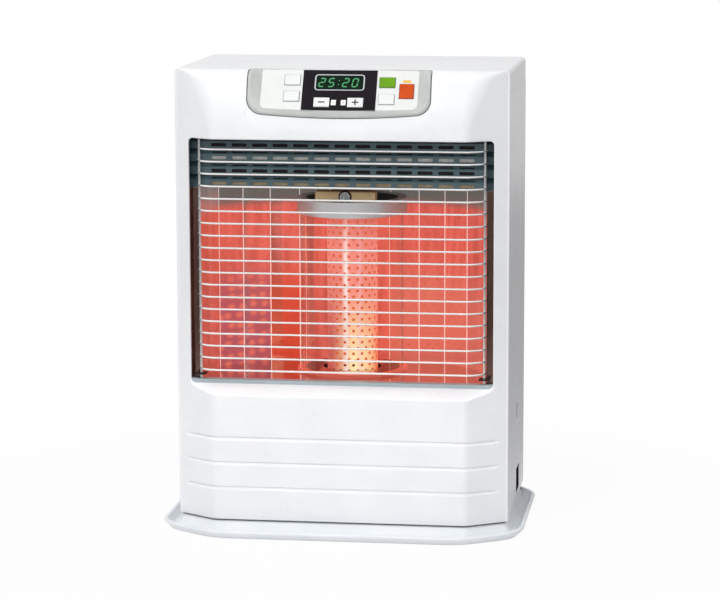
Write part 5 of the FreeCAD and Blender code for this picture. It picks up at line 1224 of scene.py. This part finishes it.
def face_rim(inset, out):
    """The bezel's inner edge at the fascia."""
    line = u_line(FASCIA_HALF - inset, FACE_EDGE + inset, FACE_BOW, FACE_BEND, FASCIA_TALL + FACE_EDGE,
                  FACE_SHOULDER)
    return [on_fascia(x, up, out) for x, up in line]


outer = header_rim(RIM_WIDE, -0.5 * MM)
inner = face_rim(0.0, 0.6 * MM)
rim_profile = ((0.0, 8 * MM), (0.0, 2.2 * MM), (0.5 * MM, 0.9 * MM), (1.6 * MM, 0.0))
bezel_loops = [header_rim(RIM_GAP + inset, sink) for inset, sink in rim_profile]
bezel_loops.append(outer)
bezel_loops += [[a.lerp(b, share) for a, b in zip(outer, inner)] for share in (0.06, 0.5, 0.97)]
bezel_loops += [inner, face_rim(0.6 * MM, 0.1 * MM), face_rim(0.6 * MM, -1.0 * MM)]
bezel_mesh = lofted("bezel_moulding", [loop[::-1] for loop in bezel_loops], 60, closed=False)
grey_abs = moulded("light_grey_abs", "#C4C8C5", "#BBBFBC", 0.38)
walled(piece(bezel_mesh, grey_abs, "bezel_plastic", ["control_bezel"]), BEZEL_WALL)


# Fascia, display panel and board
# A white moulded plate carries the keys; a black film covers its middle behind the display, and the
# printed board is screwed to posts behind it. The plate's upper lip turns over to the top cover.

LIP_WALL = 0.3 * MM
white_abs = moulded("white_abs", "#E3E5E3", "#DEE0DE", 0.35)
black_film = moulded("black_gloss_film", "#1E191F", "#1A161B", 0.3, 0.003, Specular_IOR_Level=0.08)
dress(white_abs, "control_fascia")
dress(black_film, "display_panel")
dress(moulded("green_board", "#23603C", "#1E5234", 0.4), "control_board")
lip_line = [
    on_fascia(0.0, FASCIA_TALL - 0.6 * MM, -0.5 * MM),
    on_fascia(0.0, FASCIA_TALL + 0.1 * MM, -0.1 * MM),
    Vector((0.0, SEAM - 1.6 * MM, TOP - 0.4 * MM)),
    Vector((0.0, SEAM - 0.5 * MM, TOP - 0.5 * MM)),
    Vector((0.0, SEAM - 0.4 * MM, TOP - 4 * MM)),
]
lip_loops = [[(across, spot.y, spot.z) for spot in lip_line] for across in (FASCIA_HALF, -FASCIA_HALF)]
walled(piece(lofted("fascia_top_lip", lip_loops, 60, closed=False), white_abs, "fascia_plastic"), LIP_WALL)


# Display
# A smoked pane in a bright plated frame, with slanting green luminous bars for the time behind it.

PANE_HALF = 37 * MM
PANE_LOW = 33 * MM
PANE_TALL = 26.5 * MM
PANE_MIDDLE = PANE_LOW + PANE_TALL / 2
PANE_BEND = 5 * MM
PANE_INSET = 1.7 * MM
FILM = 0.8 * MM
PANE_FACE = FILM + 1.0 * MM


def rounded_rectangle(half, tall, bend, steps=6):
    """Points round a rectangle about its middle, with rounded corners."""
    points = []
    for corner, (way_x, way_y) in enumerate(((1, 1), (-1, 1), (-1, -1), (1, -1))):
        for step in range(steps + 1):
            turn = math.pi / 2 * (corner + step / steps)
            points.append((way_x * (half - bend) + bend * math.cos(turn),
                           way_y * (tall - bend) + bend * math.sin(turn)))
    return points


def on_pane(inset, out):
    """The pane's outline, drawn in by inset and so far out of the film."""
    outline = rounded_rectangle(PANE_HALF - inset, PANE_TALL / 2 - inset, PANE_BEND - inset)
    return [on_fascia(x, PANE_MIDDLE + up, FILM + out) for x, up in outline]


smoked = moulded("smoked_green_pane", "#06200F", "#051A0C", 0.2, 0.001, Specular_IOR_Level=0.1)
pane_loops = [on_pane(PANE_INSET, out) for out in (0.2 * MM, 0.9 * MM)]
piece(lofted("display_glass", pane_loops, head=True), smoked, "display_plastic", ["display_pane"])

FRAME_PROFILE = ((0.0, 0.0), (0.0, 1.0), (0.5, 1.4), (1.3, 1.4), (1.8, 1.0), (1.8, 0.3))
silver = skin("silver_plated_frame", "#D8DBDE", "#C2C7CC", 1.5, (0.22, 0.32), 0.002, Metallic=1.0)[0]
frame_loops = [on_pane(inset * MM, out * MM) for inset, out in FRAME_PROFILE]
piece(lofted("display_frame", frame_loops), silver, "ring_steel")

DIGIT_WIDE = 9.4 * MM
DIGIT_TALL = 15 * MM
BAR = 1.9 * MM
BAR_GAP = 0.25 * MM
BAR_RISE = 0.3 * MM
SLANT = math.tan(math.radians(11))
DIGIT_PLACES = [place * MM for place in (-26.2, -12.2, 9.0, 23.0)]
COLON_PLACE = -1.2 * MM
COLON_RISE = 3.2 * MM
COLON_RADIUS = 0.9 * MM
BARS = {
    "top": ((-1, 1), (1, 1)), "middle": ((-1, 0), (1, 0)), "bottom": ((-1, -1), (1, -1)),
    "upper_left": ((-1, 0), (-1, 1)), "upper_right": ((1, 0), (1, 1)),
    "lower_left": ((-1, -1), (-1, 0)), "lower_right": ((1, -1), (1, 0)),
}
LIT = {
    "0": ("top", "bottom", "upper_left", "upper_right", "lower_left", "lower_right"),
    "2": ("top", "middle", "bottom", "upper_right", "lower_left"),
    "5": ("top", "middle", "bottom", "upper_left", "lower_right"),
}


def bar_points(start, end, middle):
    """The six corners of one luminous bar between two places of a digit."""
    half = Vector((DIGIT_WIDE - BAR, DIGIT_TALL - BAR)) / 2
    start, end = (Vector(place) * half for place in (start, end))
    along = (end - start).normalized()
    aside = Vector((-along.y, along.x)) * BAR / 2
    gap = along * BAR_GAP
    start, end, point = start + gap, end - gap, along * BAR / 2
    near, far = start + point, end - point
    outline = [start, near - aside, far - aside, end, far + aside, near + aside]
    return [(middle + p.x + SLANT * p.y, p.y) for p in outline]


shapes = [bar_points(*BARS[bar], middle) for digit, middle in zip("2520", DIGIT_PLACES) for bar in LIT[digit]]
for rise in (-COLON_RISE, COLON_RISE):
    turns = [math.radians(60 * step) for step in range(6)]
    shapes.append([(COLON_PLACE + SLANT * rise + COLON_RADIUS * math.cos(turn),
                    rise + COLON_RADIUS * math.sin(turn)) for turn in turns])
bm = bmesh.new()
for outline in shapes:
    bridge(bm, [[on_fascia(x, PANE_MIDDLE + up, out) for x, up in outline]
                for out in (PANE_FACE - BAR_RISE, PANE_FACE)], head=True)
luminous, tree, shader = finish("luminous_green", "#1B5A33", Roughness=0.4, Emission_Strength=0.8)
tint(tree, shader, grain(tree, 1.2), "#2F8C50", "#58AC7A", socket="Emission Color", places=(0.0, 1.0))
piece(shape("display_bars", bm, 10), luminous, "lens_plastic")


# Keys and lamps
# Moulded caps that stand a little out of the fascia, each on its own spring: plus and minus on the
# film, four setting keys beside it, the orange operation key, and small lenses for their lamps.

white_key = moulded("white_key_abs", "#E5E7E6", "#E0E2E1", 0.32)
green_key = moulded("green_key_abs", "#6AA208", "#619606", 0.32, Specular_IOR_Level=0.2)
orange_key = moulded("orange_key_abs", "#D04C02", "#C44602", 0.32, Specular_IOR_Level=0.2)
WHITE_KEYS = ("minus", "plus", "left_upper", "left_lower", "right_lower")
KEYS = {f"{name}_button": (white_key, "button_plastic") for name in WHITE_KEYS}
KEYS["right_upper_button"] = (green_key, "green_plastic")
KEYS["power_button"] = (orange_key, "orange_plastic")
for node, (material, slot) in KEYS.items():
    rounded(node + "_cap", node, 0.7, material, slot, body=node + "_body")

KEY_SPOTS = ((-70.5, 50.5, 23, 16), (-70.5, 24, 23, 16), (70.5, 47.5, 23, 16), (70.5, 20, 23, 16),
             (99.5, 33.5, 21, 23))
LENS_SPOTS = ((-7.3, 14), (7.3, 14))
OUTLINE_GAP = 0.35 * MM
OUTLINE_WIDE = 0.7 * MM
OUTLINE_RISE = 0.1 * MM
OUTLINE_BEND = 0.4 * MM
MARK_HALF = 0.5 * MM
MARK_WIDE = 0.9 * MM
LENS_FACE = 1.3 * MM


def flat_frame(bm, spot, half, tall, wide, out):
    """A thin raised frame round a place on the fascia in millimetres, that far out of its face."""
    across, up = (place * MM for place in spot)
    bridge(bm, [
        [on_fascia(across + x, up + rise, out + side * OUTLINE_RISE)
         for x, rise in rounded_rectangle(half + grow, tall + grow, OUTLINE_BEND + grow, 3)]
        for grow, side in ((wide, -1), (wide, 1), (0.0, 1), (0.0, -1))
    ])


# Thin grey frames round the keys and the two lamp marks, a little proud of the fascia.
key_outline_grey = moulded("grey_key_outline", "#A6ABAD", "#9CA1A3", 0.5, 0.002)
bm = bmesh.new()
for *spot, wide, tall in KEY_SPOTS:
    flat_frame(bm, spot, wide * MM / 2 + OUTLINE_GAP, tall * MM / 2 + OUTLINE_GAP, OUTLINE_WIDE, 0.0)
for spot in LENS_SPOTS:
    flat_frame(bm, spot, MARK_HALF, MARK_HALF, MARK_WIDE, LENS_FACE)
piece(shape("key_outlines", bm), key_outline_grey, "bezel_plastic")

SIGN_HALVES = Vector((9.6, 2.0)) * MM / 2
SIGN_ACROSS = 25 * MM
KEY_UP = 14 * MM
KEY_FACE = 2.6 * MM
SIGN_LEVELS = (KEY_FACE - 0.2 * MM, KEY_FACE + 0.1 * MM)
level_bar, upright_bar = SIGN_HALVES, SIGN_HALVES.yx
sign_ink = moulded("dark_sign_ink", "#2E2A2F", "#282429", 0.5, 0.002)
for node, across, bars in (("minus_button", -SIGN_ACROSS, (level_bar,)),
                           ("plus_button", SIGN_ACROSS, (level_bar, upright_bar))):
    bm = bmesh.new()
    for half in bars:
        corners = [(way_x * half.x, way_y * half.y) for way_x, way_y in ((-1, -1), (1, -1), (1, 1), (-1, 1))]
        bridge(bm, [[on_fascia(across + x, KEY_UP + up, out) for x, up in corners] for out in SIGN_LEVELS],
               head=True)
    piece(shape(node + "_sign", bm, 10), sign_ink, "black_plastic", (), node + "_body")

# Frosted acrylic: white over the two marks, and lit amber at the lamp of the operation key.
LAMP_SIDE = 50 * MM
LAMP_GLOW = 0.5
lens_clear, tree, shader = finish("lamp_lens_acrylic", "#F2F0EA", IOR=1.49)
shine(tree, shader, grain(tree, 0.8), 0.25, 0.4, 0.01)
at_lamp = add(tree, "Math", {0: whereabouts(tree)["X"], 1: LAMP_SIDE}, operation="GREATER_THAN")
tint(tree, shader, at_lamp, "#F2F2EE", "#F6A12E", places=(0.0, 1.0))
lamp_glow = add(tree, "Math", {0: at_lamp, 1: LAMP_GLOW}, operation="MULTIPLY")
shader.inputs["Emission Color"].default_value = linear("#F08A1E")
tree.links.new(lamp_glow, shader.inputs["Emission Strength"])
rounded("lamp_lenses", "indicator_lenses", 0.5, lens_clear, "lens_plastic")


# Studio: floor, light and camera
# A pale floor that runs to white, with a painted pool of light round the heater and painted shadow in front
# and to the right where reflections see it; a white surround that is darker low in front, three broad soft
# lamps and a narrow one on the ledge, and the view from a little above and to the right.

scene = bpy.context.scene
scene.view_settings.view_transform = "Standard"
FLOOR_HALF = 3.0
FLOOR_PLACE = (0.0, 1.2, -0.3 * MM)
bm = bmesh.new()
bmesh.ops.create_grid(bm, x_segments=1, y_segments=1, size=FLOOR_HALF)
bmesh.ops.translate(bm, verts=bm.verts, vec=FLOOR_PLACE)
floor_mesh = bpy.data.meshes.new("studio_floor")
bm.to_mesh(floor_mesh)
bm.free()
floor = bpy.data.objects.new("studio_floor", floor_mesh)
scene.collection.objects.link(floor)
floor_paint, tree, shader = finish("pale_floor_paint", "#F0F0F0", Roughness=0.8)
seen = add(tree, "LightPath").node.outputs
spot = add(tree, "TexCoord", out="Object")
place = whereabouts(tree)
far = add(tree, "VectorMath", {0: spot}, "Value", operation="LENGTH")
FLOOR_FADES = (
    (far, 0.42, 0.8, 0.0, 1.0),
    (far, 0.35, 0.9, 0.94, 1.0),
    (place["Y"], -0.9, -1.4, 0.0, 0.8),
    (place["X"], 0.24, 0.36, 0.0, 0.75),
)
floor_painted_light_pool, whiteness, front_painted_shadow, right_painted_shadow = (
    add(tree, "MapRange", {"Value": value, "From Min": start, "From Max": end, "To Min": low,
                           "To Max": high}, interpolation_type="SMOOTHSTEP")
    for value, start, end, low, high in FLOOR_FADES)
# Painted pool of light: the floor paint is pale near the heater and greyer further out.
tint(tree, shader, floor_painted_light_pool, "#F0F0F0", "#B4B4B4", places=(0.0, 1.0))
direct = seen["Is Camera Ray"]
for ray in ("Is Glossy Ray", "Is Transmission Ray"):
    direct = add(tree, "Math", {0: direct, 1: seen[ray]}, operation="MAXIMUM")
# Painted shadow: in front and to the right, the white that reflections see is dimmed.
shaded = add(tree, "Math", {0: front_painted_shadow, 1: right_painted_shadow}, operation="MAXIMUM")
unseen = add(tree, "Math", {0: 1.0, 1: seen["Is Camera Ray"]}, operation="SUBTRACT")
dimmed = add(tree, "Math", {0: shaded, 1: unseen}, operation="MULTIPLY")
lit = add(tree, "Math", {0: 1.0, 1: dimmed}, operation="SUBTRACT")
white_light = add(tree, "Emission", {"Color": linear("#FFFFFF"), "Strength": lit})
share = add(tree, "Math", {0: direct, 1: whiteness}, operation="MULTIPLY")
mixed = add(tree, "MixShader", {0: share, 1: shader.outputs[0], 2: white_light})
tree.links.new(mixed, tree.nodes["Material Output"].inputs["Surface"])
floor_mesh.materials.append(floor_paint)

AMBIENT = 0.5
GLOSSY = 0.84
DARK_FRONT = 0.12
OVERHEAD = 0.3
world = bpy.data.worlds.new("white_studio")
world.use_nodes = True
scene.world = world
tree = world.node_tree
seen = add(tree, "LightPath").node.outputs
way = add(tree, "TexCoord", out="Generated")
way = add(tree, "SeparateXYZ", {"Vector": way}).node.outputs
above, behind, overhead = (
    add(tree, "MapRange", {"Value": way[axis], "From Min": start, "From Max": end, "To Max": most},
        interpolation_type="SMOOTHSTEP")
    for axis, start, end, most in (("Z", -0.14, 0.06, 1.0), ("Y", -0.3, 0.2, 1.0), ("Z", 0.2, 0.5, OVERHEAD)))
pale = add(tree, "Math", {0: above, 1: behind}, operation="MAXIMUM")
mirrored = add(tree, "MapRange", {"Value": pale, "To Min": DARK_FRONT, "To Max": GLOSSY})
mirrored = add(tree, "Math", {0: mirrored, 1: overhead}, operation="ADD")
clear = add(tree, "Math", {0: seen["Is Glossy Ray"], 1: seen["Is Transmission Ray"]}, operation="MAXIMUM")
strength = add(tree, "Mix", {0: clear, 2: AMBIENT, 3: mirrored})
strength = add(tree, "Mix", {0: seen["Is Camera Ray"], 2: strength, 3: 1.0})
backdrop = tree.nodes["Background"]
backdrop.inputs["Color"].default_value = linear("#FFFFFF")
tree.links.new(strength, backdrop.inputs["Strength"])


def soft_lamp(name, place, target, size, watts, deep=None, cone=180):
    """An area lamp at a place, turned to a target: square, or that deep, within a cone in degrees."""
    data = bpy.data.lights.new(name, "AREA")
    data.shape = "RECTANGLE"
    data.size = size
    data.size_y = deep or size
    data.spread = math.radians(cone)
    data.energy = watts
    lamp = bpy.data.objects.new(name, data)
    lamp.location = place
    lamp.rotation_euler = (Vector(target) - Vector(place)).to_track_quat("-Z", "Y").to_euler()
    lamp.visible_glossy = False
    scene.collection.objects.link(lamp)


soft_lamp("key_lamp", (-0.354, -2.52, 1.94), (0.0, 0.0, 0.35), 1.6, 25.0)
soft_lamp("low_front_lamp", (0.1, -2.8, 0.5), (0.0, 0.0, 0.3), 1.2, 10.0)
soft_lamp("high_front_lamp", (-0.2, -1.1, 2.7), (0.0, 0.0, 0.35), 1.4, 18.0)
soft_lamp("ledge_lamp", (0.0, -0.38, 0.78), (0.0, -0.146, 0.216), 0.6, 0.03, 0.06, 14)

VIEW_ACROSS = math.radians(7.947)
VIEW_UP = math.radians(9.187)
VIEW_ROLL = math.radians(-0.147)
VIEW_FAR = 4.2978
VIEW_TARGET = Vector((10.53, 0.0, 332.74)) * MM
lens = bpy.data.cameras.new("view")
lens.sensor_width = 36
lens.lens = 140
camera = bpy.data.objects.new("view", lens)
scene.collection.objects.link(camera)
scene.camera = camera
back = Vector((math.sin(VIEW_ACROSS) * math.cos(VIEW_UP), -math.cos(VIEW_ACROSS) * math.cos(VIEW_UP),
               math.sin(VIEW_UP)))
camera.location = VIEW_TARGET + back * VIEW_FAR
camera.rotation_euler = (-back).to_track_quat("-Z", "Y").to_euler()
camera.rotation_euler.rotate_axis("Z", VIEW_ROLL)
